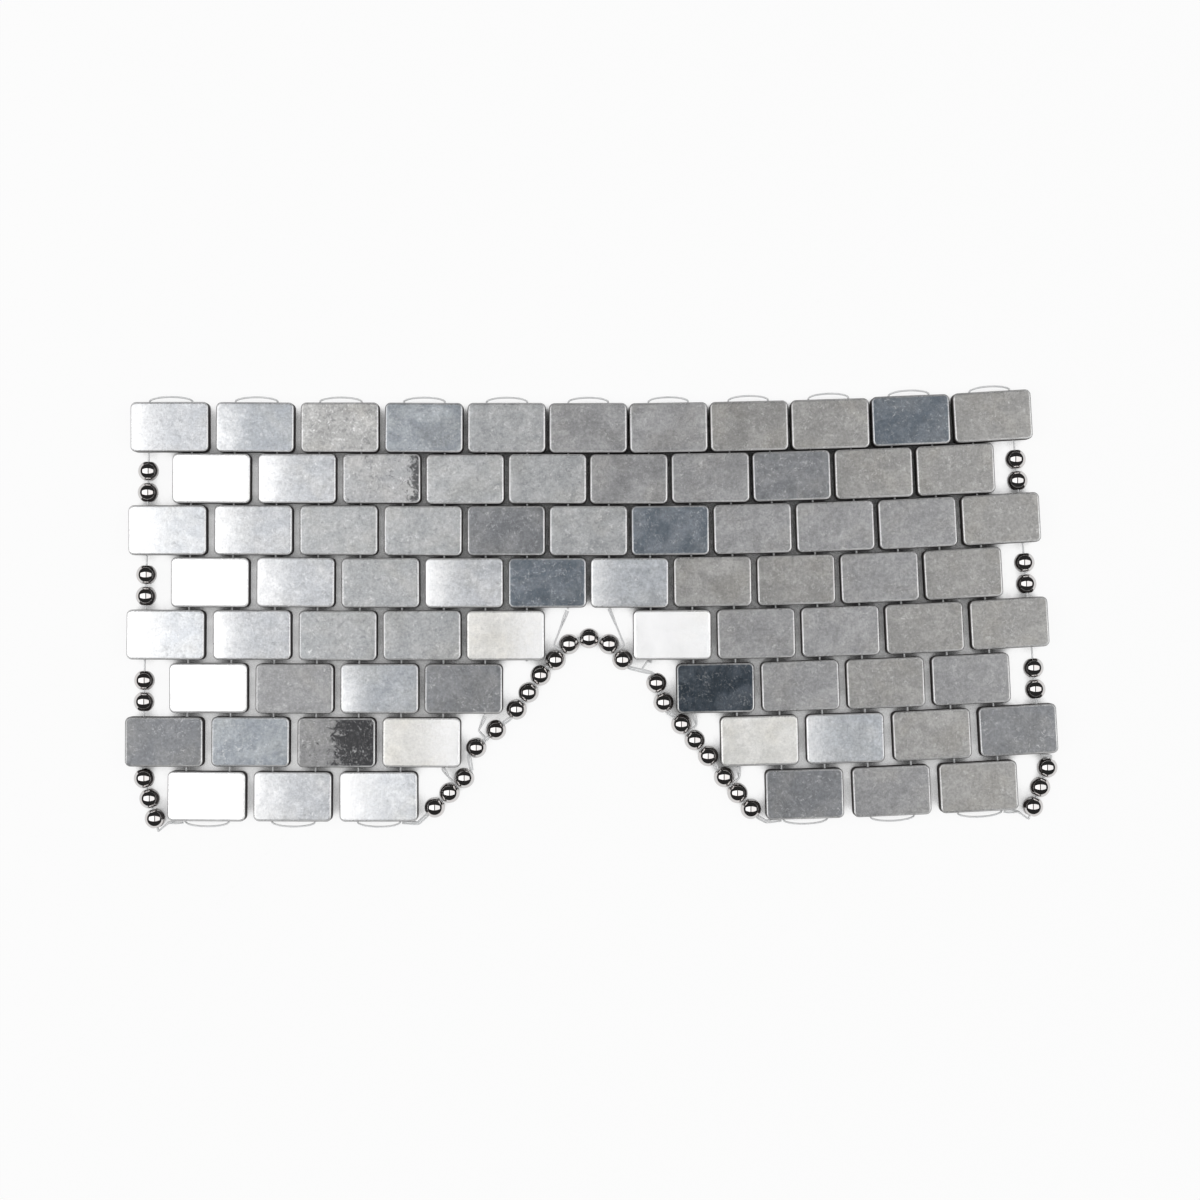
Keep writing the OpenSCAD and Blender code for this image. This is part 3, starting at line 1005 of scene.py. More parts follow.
@dataclass(frozen=True)
class DarkMirror:
    """Finish of a bead: dark steel with a mirror polish and a faint haze."""

    colour: Colour = (0.64, 0.63, 0.625)
    warm_tint: Colour = (1.04, 1.0, 0.99)
    roughness: float = 0.0
    haze: Cloud = Cloud(900.0, 4.0, 0.6, 0.0, (0.4, 0.65))
    fine: Cloud = Cloud(3600.0, 3.0, 0.6)
    relief: tuple[float, float] = (0.12, 0.000008)

    def material(self) -> bpy.types.Material:
        """Builds the shader.

        Returns:
            The material of the beads.
        """
        n = Shader("dark_mirror")
        coords = n.object_place()
        haze, fine = n.layer(coords, self.haze), n.noise(coords, self.fine)
        warm = tuple(c * tint for c, tint in zip(self.colour, self.warm_tint))
        n.feed(n.shader, "Base Color", n.mix(haze, self.colour, warm))
        n.shader.inputs["Metallic"].default_value = 1.0
        n.shader.inputs["Roughness"].default_value = self.roughness
        n.feed(n.shader, "Normal", n.bump(fine, *self.relief))
        return n.material


@dataclass(frozen=True)
class ClearNylon:
    """Finish of the thread: clear line, slightly milky along its length."""

    colour: Colour = (0.96, 0.965, 0.97)
    milk_colour: Colour = (0.9, 0.915, 0.925)
    milk: Cloud = Cloud(420.0, 3.0, 0.5, 0.0, (0.35, 0.7))
    roughness: tuple[float, float] = (0.1, 0.22)
    rough_levels: tuple[float, float] = (0.3, 0.7)
    clearness: float = 0.2
    ior: float = 1.5

    def material(self) -> bpy.types.Material:
        """Builds the shader.

        Returns:
            The material of the thread.
        """
        n = Shader("clear_nylon")
        milk = n.noise(n.object_place(), self.milk)
        milky = n.ramp(milk, *self.milk.levels)
        n.feed(n.shader, "Base Color", n.mix(milky, self.colour, self.milk_colour))
        n.feed(n.shader, "Roughness", n.ramp(milk, *self.rough_levels, self.roughness))
        n.shader.inputs["Transmission Weight"].default_value = self.clearness
        n.shader.inputs["IOR"].default_value = self.ior
        return n.material


# Pieces


@dataclass
class MeshBatch:
    """Vertices and faces of several copies of a form, gathered for one piece."""

    points: list[np.ndarray] = field(default_factory=list)
    faces: list[list[int]] = field(default_factory=list)
    slots: list[int] = field(default_factory=list)
    place: list[np.ndarray] = field(default_factory=list)
    seed: list[np.ndarray] = field(default_factory=list)
    count: int = 0

    def add(
        self, points: np.ndarray, faces: list[list[int]], slot: int, place: np.ndarray, seed: float
    ) -> None:
        """Adds one copy of a form.

        Args:
            points: Its points, in millimetres.
            faces: Its faces, as lists of point numbers.
            slot: Number of its material.
            place: Place of each point on the form itself.
            seed: Number of the copy, from 0 to 1.
        """
        self.points.append(points)
        self.faces += [[i + self.count for i in f] for f in faces]
        self.slots += [slot] * len(faces)
        self.place.append(place)
        self.seed.append(np.full(len(points), seed))
        self.count += len(points)

    def piece(
        self, name: str, materials: list[bpy.types.Material], sharp_deg: float = 38.0
    ) -> bpy.types.Object:
        """Makes the object.

        Args:
            name: Name of the piece.
            materials: Its materials, in slot order.
            sharp_deg: Angle above which an edge stays sharp.

        Returns:
            The new object, linked to the scene, in metres.
        """
        mesh = bpy.data.meshes.new(name)
        points = np.concatenate(self.points) * MM
        mesh.from_pydata(points.tolist(), [], self.faces)
        for m in materials:
            mesh.materials.append(m)
        mesh.polygons.foreach_set("material_index", self.slots)
        mesh.polygons.foreach_set("use_smooth", [True] * len(self.faces))
        place = mesh.attributes.new("place", "FLOAT_VECTOR", "POINT")
        place.data.foreach_set("vector", np.concatenate(self.place).astype(np.float32).ravel())
        seed = mesh.attributes.new("seed", "FLOAT", "POINT")
        seed.data.foreach_set("value", np.concatenate(self.seed).astype(np.float32))
        mesh.set_sharp_from_angle(angle=math.radians(sharp_deg))
        mesh.validate()
        piece = bpy.data.objects.new(name, mesh)
        bpy.context.scene.collection.objects.link(piece)
        return piece


@dataclass(frozen=True)
class TileForm:
    """The two-hole tile, in its own place, in millimetres.

    The crown holds the inset and the fall of each ring of the face, from the middle outwards.
    """

    width: float = WEAVE.tile_w
    height: float = WEAVE.tile_h
    thick: float = WEAVE.tile_t
    corner: float = 1.2
    edge: float = 0.5
    hole: float = 1.5
    sink: float = 0.25
    hole_pitch: float = 8.9
    edge_fall: float = 0.03
    crown: tuple[tuple[float, float], ...] = (
        (4.9, 0.0), (3.9, 0.0), (2.9, 0.0), (2.1, 0.003), (1.5, 0.012), (0.64, 0.024),
    )  # fmt: skip
    least_corner: float = 0.06
    edge_steps: int = 5
    corner_steps: int = 6
    side_steps: tuple[int, int] = (10, 7)
    drill_reach: float = 0.6
    drill_sides: int = 28

    def outline(self, inset: float) -> list[tuple[float, float]]:
        """Rounded outline of the tile, drawn in by an inset.

        Args:
            inset: How far inside the tile's own outline it runs.

        Returns:
            Points round the outline, as many for every inset.
        """
        r = max(self.corner - inset, self.least_corner)
        a, b = self.width / 2 - inset - r, self.height / 2 - inset - r
        arcs = []
        for quarter, (sx, sy) in enumerate(((1, 1), (-1, 1), (-1, -1), (1, -1))):
            step = 90 / self.corner_steps
            turns = [math.radians(90 * quarter + step * i) for i in range(self.corner_steps + 1)]
            arcs.append([(sx * a + r * math.cos(t), sy * b + r * math.sin(t)) for t in turns])
        points: list[tuple[float, float]] = []
        for i, arc in enumerate(arcs):
            points += arc
            (x0, y0), (x1, y1) = arc[-1], arcs[(i + 1) % 4][0]
            count = self.side_steps[i % 2]
            for k in range(1, count):
                points.append((x0 + (x1 - x0) * k / count, y0 + (y1 - y0) * k / count))
        return points

    def rings(self) -> list[tuple[float, float]]:
        """Works out the rings that the form is made of.

        Returns:
            Inset and height of each ring, from the middle of the back to that of the face.
        """
        half, top = self.thick / 2, self.thick / 2 - self.edge_fall
        face = [(inset, half - fall) for inset, fall in self.crown]
        for i in range(self.edge_steps + 1):
            a = math.radians(90 - 90 * i / self.edge_steps)
            face.append((self.edge * (1 - math.cos(a)), top - self.edge * (1 - math.sin(a))))
        return [(d, -z) for d, z in face] + [(0.0, 0.0)] + [(d, z) for d, z in reversed(face)]

    def block(self) -> Form:
        """Makes the tile without its holes.

        Returns:
            Points in millimetres and faces as lists of point numbers.
        """
        rings = self.rings()
        points, faces = [], []
        for inset, z in rings:
            points += [(x, y, z) for x, y in self.outline(inset)]
        n = len(self.outline(0.0))
        for r in range(len(rings) - 1):
            for i in range(n):
                j = (i + 1) % n
                faces.append([r * n + i, r * n + j, (r + 1) * n + j, (r + 1) * n + i])
        last = (len(rings) - 1) * n
        faces.append(list(range(n))[::-1])
        faces.append([last + i for i in range(n)])
        return np.array(points), faces

    def drilled(self) -> Form:
        """Makes the tile with its two thread holes, countersunk at both ends.

        Returns:
            Points in millimetres and faces as lists of point numbers.
        """
        body = plain_object("tile_body", *self.block())
        for x in (-1, 1):
            drill = plain_object(f"drill_{x}", *self._drill(x * self.hole_pitch / 2))
            cut = body.modifiers.new(f"hole_{x}", "BOOLEAN")
            cut.operation, cut.solver, cut.object = "DIFFERENCE", "EXACT", drill
        bpy.context.view_layer.update()
        shaped = body.evaluated_get(bpy.context.evaluated_depsgraph_get()).to_mesh()
        points = np.array([v.co for v in shaped.vertices])
        faces = [list(p.vertices) for p in shaped.polygons]
        for o in [o for o in bpy.data.objects if o.name.startswith(("tile_body", "drill_"))]:
            bpy.data.objects.remove(o)
        return points, faces

    def _drill(self, x: float) -> Form:
        """Makes the cutter for one hole.

        Args:
            x: Distance of the hole from the tile's middle.

        Returns:
            Points in millimetres and faces as lists of point numbers.
        """
        half, r, reach, n = self.height / 2, self.hole / 2, self.drill_reach, self.drill_sides
        rings = [(-half - reach, r + self.sink + reach), (-half + self.sink, r)]
        rings += [(half - self.sink, r), (half + reach, r + self.sink + reach)]
        points = [
            (x + d * math.cos(2 * math.pi * i / n), y, d * math.sin(2 * math.pi * i / n))
            for y, d in rings
            for i in range(n)
        ]
        faces = [
            [k * n + i, (k + 1) * n + i, (k + 1) * n + (i + 1) % n, k * n + (i + 1) % n]
            for k in range(len(rings) - 1)
            for i in range(n)
        ]
        faces += [list(range(n)), [(len(rings) - 1) * n + i for i in range(n)][::-1]]
        return np.array(points), faces


def plain_object(name: str, points: np.ndarray, faces: list[list[int]]) -> bpy.types.Object:
    """Makes an object for shaping another one, with faces turned outwards.

    Args:
        name: Name of the object.
        points: Its points, in millimetres.
        faces: Its faces, as lists of point numbers.

    Returns:
        The new object, linked to the scene.
    """
    mesh = bpy.data.meshes.new(name)
    mesh.from_pydata(points.tolist(), [], faces)
    form = bmesh.new()
    form.from_mesh(mesh)
    bmesh.ops.recalc_face_normals(form, faces=form.faces)
    form.to_mesh(mesh)
    form.free()
    made = bpy.data.objects.new(name, mesh)
    bpy.context.scene.collection.objects.link(made)
    return made


def smooth(path: list[np.ndarray], rounds: int = 2) -> list[np.ndarray]:
    """Cuts the corners of a run of points, and keeps its ends.

    Args:
        path: The points.
        rounds: How many times the corners are cut.

    Returns:
        The smoother run.
    """
    for _ in range(rounds):
        cut = [path[0]]
        for a, b in zip(path, path[1:]):
            cut += [a * 0.75 + b * 0.25, a * 0.25 + b * 0.75]
        path = [*cut, path[-1]]
    return path


@dataclass
class TileColumn:
    """One column of tiles, which turns with its neighbours on the threads.

    The last columns are those of the white, the pale and the silver tiles, whose paleness towards
    the left is painted light of the left lamp. The dents hold the depth, in millimetres, and the
    scale of each kind of dent.
    """

    number: int
    last_columns: tuple[int, int, int] = (2, 4, 11)
    grey_share: float = 0.55
    dents: tuple[tuple[float, float], ...] = ((0.022, 0.34), (0.008, 1.3))
    face_from: float = 1.0
    spots: list[Spot] = field(init=False)

    def __post_init__(self) -> None:
        """Measures the tiles of the node."""
        self.spots = SolidReader(self.node).tile_spots()

    @property
    def node(self) -> str:
        """Name of the node that this column stands for."""
        return f"tile_column_{self.number:02d}"

    @property
    def body(self) -> str:
        """Name of the body that it rides on."""
        return f"column_{self.number:02d}"

    def rows(self) -> list[int]:
        """Rows in which the column has a tile."""
        return [r for r in range(1, WEAVE.rows + 1) if WEAVE.has_tile(r, self.number)]

    def tone(self, row: int) -> Tone:
        """Shade of the tile in a row: pale on the left, mid grey on the right; the paleness on the
        left is painted light of the left lamp.

        Args:
            row: Row of the tile, from 1 at the top.

        Returns:
            The shade.
        """
        if (row, self.number) in MARKED_TILES:
            return MARKED_TILES[(row, self.number)]
        pick = random.Random(31 * row + 7 * self.number).random()
        white, pale, silver = self.last_columns
        if self.number <= white:
            return Tone.WHITE if row % 2 == 0 else Tone.BRIGHT
        if self.number <= pale:
            return Tone.PALE
        if self.number <= silver:
            return Tone.SILVER
        return Tone.GREY if pick < self.grey_share else Tone.WARM

    def build(self, form: Form, finishes: dict[Tone, bpy.types.Material]) -> bpy.types.Object:
        """Makes the column's piece.

        Args:
            form: Points and faces of the tile, in its own place.
            finishes: Material of each shade.

        Returns:
            The dressed piece.
        """
        points, faces = form
        tones = [self.tone(row) for row in self.rows()]
        used = sorted(set(tones), key=lambda t: t.name)
        batch = MeshBatch()
        for row, tone, spot in zip(self.rows(), tones, self.spots):
            seed = random.Random(1000 * row + self.number).random()
            wear_and_rim_highlight = self._worn(points, Vector((40 * seed, 90 * seed, 10 * row)))
            turn = np.array(Matrix.Rotation(spot.turn, 3, "Z"))
            batch.add(wear_and_rim_highlight @ turn.T + spot.middle, faces, used.index(tone), points, seed)
        piece = batch.piece(f"tiles_column_{self.number:02d}", [finishes[t] for t in used])
        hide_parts(self.node)
        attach(piece, self.body)
        return piece

    def _worn(self, points: np.ndarray, start: Vector) -> np.ndarray:
        """Gives a tile shallow dents in its faces, none of which stands proud.

        Args:
            points: Points of the tile, in its own place.
            start: Where its own part of the noise starts.

        Returns:
            The dented points.
        """
        fall = np.zeros(len(points))
        for depth, scale in self.dents:
            waves = [0.5 + 0.5 * noise.noise(Vector(p) * scale + start) for p in points]
            fall += depth * np.array(waves)
        wear_and_rim_highlight = points.copy()
        on_face = np.abs(points[:, 2]) > self.face_from
        wear_and_rim_highlight[:, 2] -= np.sign(points[:, 2]) * fall * on_face
        return wear_and_rim_highlight


@dataclass
class BeadGroup:
    """The beads of one node, which ride on one column, in millimetres."""

    node: str
    body: str
    diameter: float = 4.4
    bore: float = 1.1
    mouth: float = 1.9
    lip: float = 0.05
    bevel: float = 0.01
    lip_depth: float = 0.2
    bore_edge: float = 0.04
    arc_steps: int = 28
    sides: int = 40
    spots: list[Spot] = field(init=False)

    def __post_init__(self) -> None:
        """Measures the beads of the node."""
        self.spots = SolidReader(self.node).bead_spots()

    def profile(self) -> list[tuple[float, float]]:
        """Works out the half section of a bead.

        Returns:
            Places along the bore and distances from it, round the section.
        """
        r, b, m = self.diameter / 2, self.bore / 2, self.mouth / 2
        edge = math.asin((m + self.lip) / r)
        arc = [edge + (math.pi - 2 * edge) * i / self.arc_steps for i in range(self.arc_steps + 1)]
        outside = [(-r * math.cos(t), r * math.sin(t)) for t in arc]
        reach = math.sqrt(r * r - m * m)
        deep = reach - (m - b)
        lip = [(reach - d, m - d) for d in (self.bevel, self.lip_depth)]
        lip += [(deep + self.bore_edge, b + self.bore_edge), (deep - self.bore_edge, b)]
        return outside + lip + [(0.0, b)] + [(-x, y) for x, y in reversed(lip)]

    def form(self) -> Form:
        """Makes one bead, with its bore along the x axis.

        Returns:
            Points in millimetres and faces as lists of point numbers.
        """
        section, n = self.profile(), self.sides
        points = [
            (x, y * math.cos(2 * math.pi * i / n), y * math.sin(2 * math.pi * i / n))
            for x, y in section
            for i in range(n)
        ]
        m = len(section)
        faces = [
            [k * n + i, k * n + (i + 1) % n, (k + 1) % m * n + (i + 1) % n, (k + 1) % m * n + i]
            for k in range(m)
            for i in range(n)
        ]
        return np.array(points), faces

    def build(self, finish: bpy.types.Material) -> bpy.types.Object:
        """Makes the piece of this group.

        Args:
            finish: Material of the beads.

        Returns:
            The dressed piece.
        """
        points, faces = self.form()
        batch = MeshBatch()
        for i, spot in enumerate(self.spots):
            turn = np.array(Matrix.Rotation(spot.turn, 3, "Z"))
            batch.add(points @ turn.T + spot.middle, faces, 0, points, i / 7)
        piece = batch.piece(f"set_{self.node}", [finish])
        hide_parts(self.node)
        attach(piece, self.body)
        return piece


class Lay(Enum):
    """How the strands of a run lie: side by side, or one above the other in a groove or a bore."""

    SINGLE = "single"
    FLAT = "flat"
    DIVE = "flat at the start, stacked from the groove on"
    ARCH = "stacked in the middle, flat at both ends"
    CORNER = "stacked at the start, flat at the end"


@dataclass(frozen=True)
class Run:
    """One run of line, in the plane of the mat, in millimetres.

    Its strands turn from flat to stacked within turn_in of its start, and back within turn_out of
    its end.
    """

    points: list[np.ndarray]
    lay: Lay = Lay.SINGLE
    turn_in: float = 3.0
    turn_out: float = 4.0

    def stack(self, walked: float, length: float) -> float:
        """Works out how far the strands have turned from flat to stacked.

        Args:
            walked: Distance from the start of the run.
            length: Length of the run.

        Returns:
            The turn, from 0 to 1.
        """
        first = min(self.turn_in, float(np.linalg.norm(self.points[1] - self.points[0])))
        start, end = min(walked / first, 1.0), min((length - walked) / self.turn_out, 1.0)
        turned = {Lay.DIVE: start, Lay.ARCH: min(start, end), Lay.CORNER: end}
        return turned.get(self.lay, 0.0)


@dataclass
class ThreadWork:
    """The clear line that laces the tiles and carries the beads, in millimetres.

    A run passes a bead's ends at bead_pole from its middle. Between two points further apart than
    least_free, its strands bow out a little, and the stops are where they are drawn.
    """

    tiles: dict[tuple[int, int], Spot]
    beads: dict[str, list[Spot]]
    thick: float = 0.4
    strand_gap: float = 0.44
    loop_bow: float = 1.0
    loop_steps: int = 18
    corner_clear: float = 0.5
    bead_pole: float = 2.22
    bead_pitch: float = 4.49
    end_gap: float = 0.06
    groove_reach: float = 2.4
    string_draw: float = 0.3
    bend_room: float = 0.6
    corner_room: float = 0.45
    level: float = 1.9
    bows: tuple[float, float] = (0.02, 0.16)
    stops: tuple[float, ...] = (0.0, 0.25, 0.5, 0.75, 1.0)
    least_free: float = 1.0
    bead_play: float = 0.02
    least_step: float = 0.02
    end_share: float = 0.6
    sides: int = 12

    def through(self, spots: list[Spot]) -> list[np.ndarray]:
        """Points of a run that passes through beads."""
        return [s.along(end * self.bead_pole) for s in spots for end in (-1, 1)]

    def loop(self, start: np.ndarray, end: np.ndarray) -> list[np.ndarray]:
        """Draws a flat loop to the left of its run.

        Args:
            start: Where the loop starts.
            end: Where it ends.

        Returns:
            The points of the loop.
        """
        run = end - start
        left = np.array([-run[1], run[0]]) / np.linalg.norm(run)
        middle = (start + end) / 2
        turns = [math.radians(180 * i / self.loop_steps) for i in range(self.loop_steps + 1)]
        return [middle - math.cos(t) * run / 2 + self.loop_bow * math.sin(t) * left for t in turns]

    @staticmethod
    def leg_foot(k: int) -> np.ndarray:
        """End of thread k's leg, inside its lowest tile where a loop takes over."""
        stand = -2 * WEAVE.loop_stand if WEAVE.last_row(k) == WEAVE.rows else WEAVE.loop_stand
        return WEAVE.foot(k, stand)

    def round_corner(self, row: int, column: int, side: int) -> np.ndarray:
        """Finds the point just below a bottom corner of a tile.

        Args:
            row: Row of the tile.
            column: Column of the tile.
            side: -1 for its left corner and 1 for its right one.

        Returns:
            The point.
        """
        spot = self.tiles[(row, column)]
        down = np.array([math.sin(spot.turn), -math.cos(spot.turn)])
        return spot.along(side * WEAVE.tile_w / 2) + (WEAVE.tile_h / 2 + self.corner_clear) * down

    def beside_foot(self, k: int, side: int) -> np.ndarray:
        """Point beside the foot of thread k."""
        return WEAVE.foot(k, WEAVE.loop_stand) + np.array([side * (self.thick + self.end_gap), 0.0])

    @staticmethod
    def groove(
        one: Spot, two: Spot, foot: np.ndarray, reach: float, middle: np.ndarray
    ) -> np.ndarray:
        """Finds a point in the groove between two beads, on the side of a thread's foot.

        Args:
            one: The left bead.
            two: The right bead.
            foot: Foot of the thread.
            reach: Distance from the middle.
            middle: Point between the two beads from which the groove runs out.

        Returns:
            The point.
        """
        run = two.middle[:2] - one.middle[:2]
        out = np.array([-run[1], run[0]]) / np.linalg.norm(run)
        return middle + reach * (1 if (foot - middle) @ out > 0 else -1) * out

    def join(self, k: int, one: Spot, two: Spot, stand: float) -> list[np.ndarray]:
        """Draws the run from the foot of a thread into the groove between two beads.

        Args:
            k: Number of the thread.
            one: The left bead.
            two: The right bead.
            stand: How far below its tile the thread ends.

        Returns:
            The points of the run.
        """
        foot = WEAVE.foot(k, stand)
        middle = (one.along(self.bead_pole) + two.along(-self.bead_pole)) / 2
        reaches = (self.groove_reach, self.thick + 2 * self.end_gap)
        return [foot, *(self.groove(one, two, foot, d, middle) for d in reaches)]

    def hairpin(self, c: int) -> list[np.ndarray]:
        """Draws both legs of a column's line, with the flat loop over the top row.

        Args:
            c: Number of the column.

        Returns:
            The points of the run.
        """
        stand = WEAVE.loop_stand
        top = self.loop(WEAVE.head(c, stand), WEAVE.head(c + 1, stand))
        return [self.leg_foot(c), *top, self.leg_foot(c + 1)]

    def corner_run(self, side: Side) -> list[np.ndarray]:
        """Draws the string of a lower outer corner, from the outermost thread to the next one.

        Args:
            side: Side of the mask.

        Returns:
            The points of the run.
        """
        if side is Side.LEFT:
            spots = self.beads["corner_beads_left"]
            k, c, inner, way, start = 1, 2, 2, self.through(spots), []
            out = spots[-1].along(self.bead_pole + self.bend_room)
        else:
            spots = self.beads["corner_beads_right"]
            k, c, inner = WEAVE.threads, WEAVE.threads - 2, WEAVE.threads - 1
            way = self.through(spots)[::-1]
            start = [spots[-1].along(self.bead_pole + self.corner_room)]
            out = spots[0].along(-self.bead_pole - self.bend_room)
        end = [self.round_corner(WEAVE.rows, c, side.value), self.beside_foot(inner, side.value)]
        return [WEAVE.foot(k, WEAVE.loop_stand), *start, *way, out, *end]

    def bridge_run(self) -> list[np.ndarray]:
        """Draws the string of the bridge, which ends beside the first of the two middle threads.

        Returns:
            The points of the run.
        """
        beads = self.beads["bridge_beads"]
        left = self.beads["nose_beads_left_upper"][-1]
        right = self.beads["nose_beads_right_upper"][0]
        bow = self.bead_pitch / 2 * math.tan((beads[0].turn - beads[1].turn) / 2)
        first = WEAVE.foot(WEAVE.middle_column + 1, WEAVE.loop_stand)
        last = WEAVE.foot(WEAVE.middle_column, WEAVE.loop_stand)
        pairs = ((beads[-1], right, first), (left, beads[0], last))
        bends = []
        for one, two, foot in pairs:
            middle = (one.middle[:2] + two.middle[:2]) / 2
            bends.append([self.groove(one, two, foot, d, middle) for d in (self.groove_reach, bow)])
        back = (last - bends[1][0]) / np.linalg.norm(last - bends[1][0])
        end = last - back * (self.thick + self.end_gap)
        return [first, *bends[0], *self.through(beads)[::-1][1:-1], *bends[1][::-1], end]

    def thread_runs(self, c: int) -> list[Run]:
        """Draws the runs of line of an odd column.

        Args:
            c: Number of the column.

        Returns:
            The runs that stand for its node.
        """
        b, stand = self.beads, WEAVE.loop_stand
        legs = Run(self.hairpin(c))
        if c in (1, WEAVE.threads - 1):
            side = Side.LEFT if c == 1 else Side.RIGHT
            return [legs, Run(self.corner_run(side), Lay.CORNER)]
        if c == WEAVE.inner_column(7, Side.LEFT):
            lower = b["nose_beads_left_lower"]
            string = [self.beside_foot(c, 1), self.round_corner(WEAVE.rows, c - 1, 1)]
            join = Run(self.join(c + 1, lower[1], lower[2], stand), Lay.DIVE)
            return [legs, join, Run([*string, *self.through(lower)], Lay.FLAT)]
        if c == WEAVE.inner_column(5, Side.LEFT):
            points = self.through(b["nose_beads_left_upper"])
            end = b["nose_beads_left_upper"][-1].along(self.bead_pole - self.string_draw)
            return [legs, Run([*points[:-1], end], Lay.FLAT)]
        if c == WEAVE.middle_column:
            return [legs, Run(self.bridge_run(), Lay.ARCH)]
        if c == WEAVE.inner_column(5, Side.RIGHT):
            upper = b["nose_beads_right_upper"]
            join = Run(self.join(c, upper[0], upper[1], stand), Lay.DIVE)
            start = upper[0].along(self.string_draw - self.bead_pole)
            end = b["nose_beads_right_middle"][0].along(-self.bead_pole - self.end_gap)
            return [legs, join, Run([start, *self.through(upper)[1:], end], Lay.FLAT)]
        if c == WEAVE.inner_column(7, Side.RIGHT):
            lower = b["nose_beads_right_lower"]
            join = Run(self.join(c, lower[0], lower[1], stand), Lay.DIVE)
            string = [self.round_corner(WEAVE.rows, c + 1, -1), self.beside_foot(c + 1, -1)]
            return [legs, join, Run([*self.through(lower), *string], Lay.FLAT)]
        return [legs]

    def bottom_runs(self, c: int) -> list[Run]:
        """Draws the loop below the lowest tile of an even column.

        Args:
            c: Number of the column.

        Returns:
            The run, in a list.
        """
        deep, stand = -2 * WEAVE.loop_stand + self.end_gap, WEAVE.loop_stand
        low = self.loop(WEAVE.foot(c + 1, stand), WEAVE.foot(c, stand))
        return [Run([WEAVE.foot(c + 1, deep), *low, WEAVE.foot(c, deep)])]

    def string_runs(self, side: Side) -> list[Run]:
        """Draws the string through the middle nose beads, with its short tie to a thread.

        Args:
            side: Side of the mask.

        Returns:
            The string and the tie.
        """
        word = "left" if side is Side.LEFT else "right"
        beads = self.beads[f"nose_beads_{word}_middle"]
        stand = WEAVE.loop_stand + self.thick
        if side is Side.LEFT:
            start = self.beads["nose_beads_left_lower"][-1].along(self.bead_pole + self.end_gap)
            end = self.beads["nose_beads_left_upper"][0].along(-self.bead_pole - self.end_gap)
            k, points = WEAVE.inner_column(5, Side.LEFT), [start, *self.through(beads), end]
        else:
            end = self.beads["nose_beads_right_lower"][0].along(-self.bead_pole - self.end_gap)
            k, points = WEAVE.inner_column(6, Side.RIGHT), [*self.through(beads), end]
        join = Run(self.join(k, beads[0], beads[1], stand), Lay.DIVE)
        return [Run(points, Lay.FLAT), join]

    def strands(self, run: Run, seed: int) -> list[list[np.ndarray]]:
        """Draws the centre lines of a run's strands.

        Args:
            run: The run.
            seed: Seed of its small waver.

        Returns:
            One centre line, or two that lie together.
        """
        if run.lay is Lay.SINGLE:
            return [smooth([np.array([*p, self.level]) for p in run.points])]
        bow = random.Random(seed).uniform(*self.bows)
        steps = [float(np.linalg.norm(b - a)) for a, b in zip(run.points, run.points[1:])]
        lines = []
        for side in (-1, 1):
            points, walked = [], 0.0
            for a, b, length in zip(run.points, run.points[1:], steps):
                across = np.array([a[1] - b[1], b[0] - a[0]]) / max(length, TINY)
                in_bead = abs(length - 2 * self.bead_pole) <= self.bead_play
                free = not in_bead and length > self.least_free
                last = b is run.points[-1]
                for t in self.stops if last else self.stops[:-1]:
                    turn = math.pi / 2 * run.stack(walked + t * length, sum(steps))
                    out = self.strand_gap / 2 + (bow * math.sin(math.pi * t) if free else 0)
                    flat = a + (b - a) * t + across * side * out * math.cos(turn)
                    points.append(np.array([*flat, self.level + side * out * math.sin(turn)]))
                walked += length
            lines.append(smooth(points, 1))
        return lines

    def tube(self, line: list[np.ndarray]) -> Form:
        """Makes a round closed tube along a centre line.

        Args:
            line: Points of the line.

        Returns:
            Points in millimetres and faces as lists of point numbers.
        """
        kept = [line[0]]
        for p in line[1:]:
            if np.linalg.norm(p - kept[-1]) > self.least_step:
                kept.append(p)
        path, n, r = np.array(kept), self.sides, self.thick / 2
        steps = np.diff(path, axis=0)
        steps /= np.linalg.norm(steps, axis=1)[:, None]
        ways = np.vstack([steps[:1], steps[:-1] + steps[1:], steps[-1:]])
        ways /= np.maximum(np.linalg.norm(ways, axis=1), TINY)[:, None]
        rings = [(p, w, r) for p, w in zip(path, ways)]
        rings.insert(0, (path[0] - self.least_step * ways[0], ways[0], self.end_share * r))
        rings.append((path[-1] + self.least_step * ways[-1], ways[-1], self.end_share * r))
        turns = 2 * np.pi * (np.arange(n) + 0.5) / n
        points = []
        for centre, way, size in rings:
            side = np.array([way[1], -way[0], 0.0]) / max(math.hypot(way[0], way[1]), TINY)
            above = np.cross(side, way)
            ring = np.cos(turns)[:, None] * side + np.sin(turns)[:, None] * above
            points.append(centre + size * ring)
        m = len(points)
        faces = [
            [i * n + j, i * n + (j + 1) % n, (i + 1) * n + (j + 1) % n, (i + 1) * n + j]
            for i in range(m - 1)
            for j in range(n)
        ]
        faces += [list(range(n))[::-1], [(m - 1) * n + j for j in range(n)]]
        return np.concatenate(points), faces

    def piece(
        self, node: str, body: str, runs: list[Run], finish: bpy.types.Material
    ) -> bpy.types.Object:
        """Makes the piece that stands for a node of line.

        Args:
            node: Node of the frame.
            body: Body that it rides on.
            runs: Its runs of line.
            finish: Material of the line.

        Returns:
            The dressed piece.
        """
        batch = MeshBatch()
        for i, run in enumerate(runs):
            for line in self.strands(run, len(node) + 17 * i):
                points, faces = self.tube(line)
                batch.add(points, faces, 0, points, 0.5)
        piece = batch.piece(f"line_{node}", [finish], 60.0)
        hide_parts(node)
        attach(piece, body)
        return piece

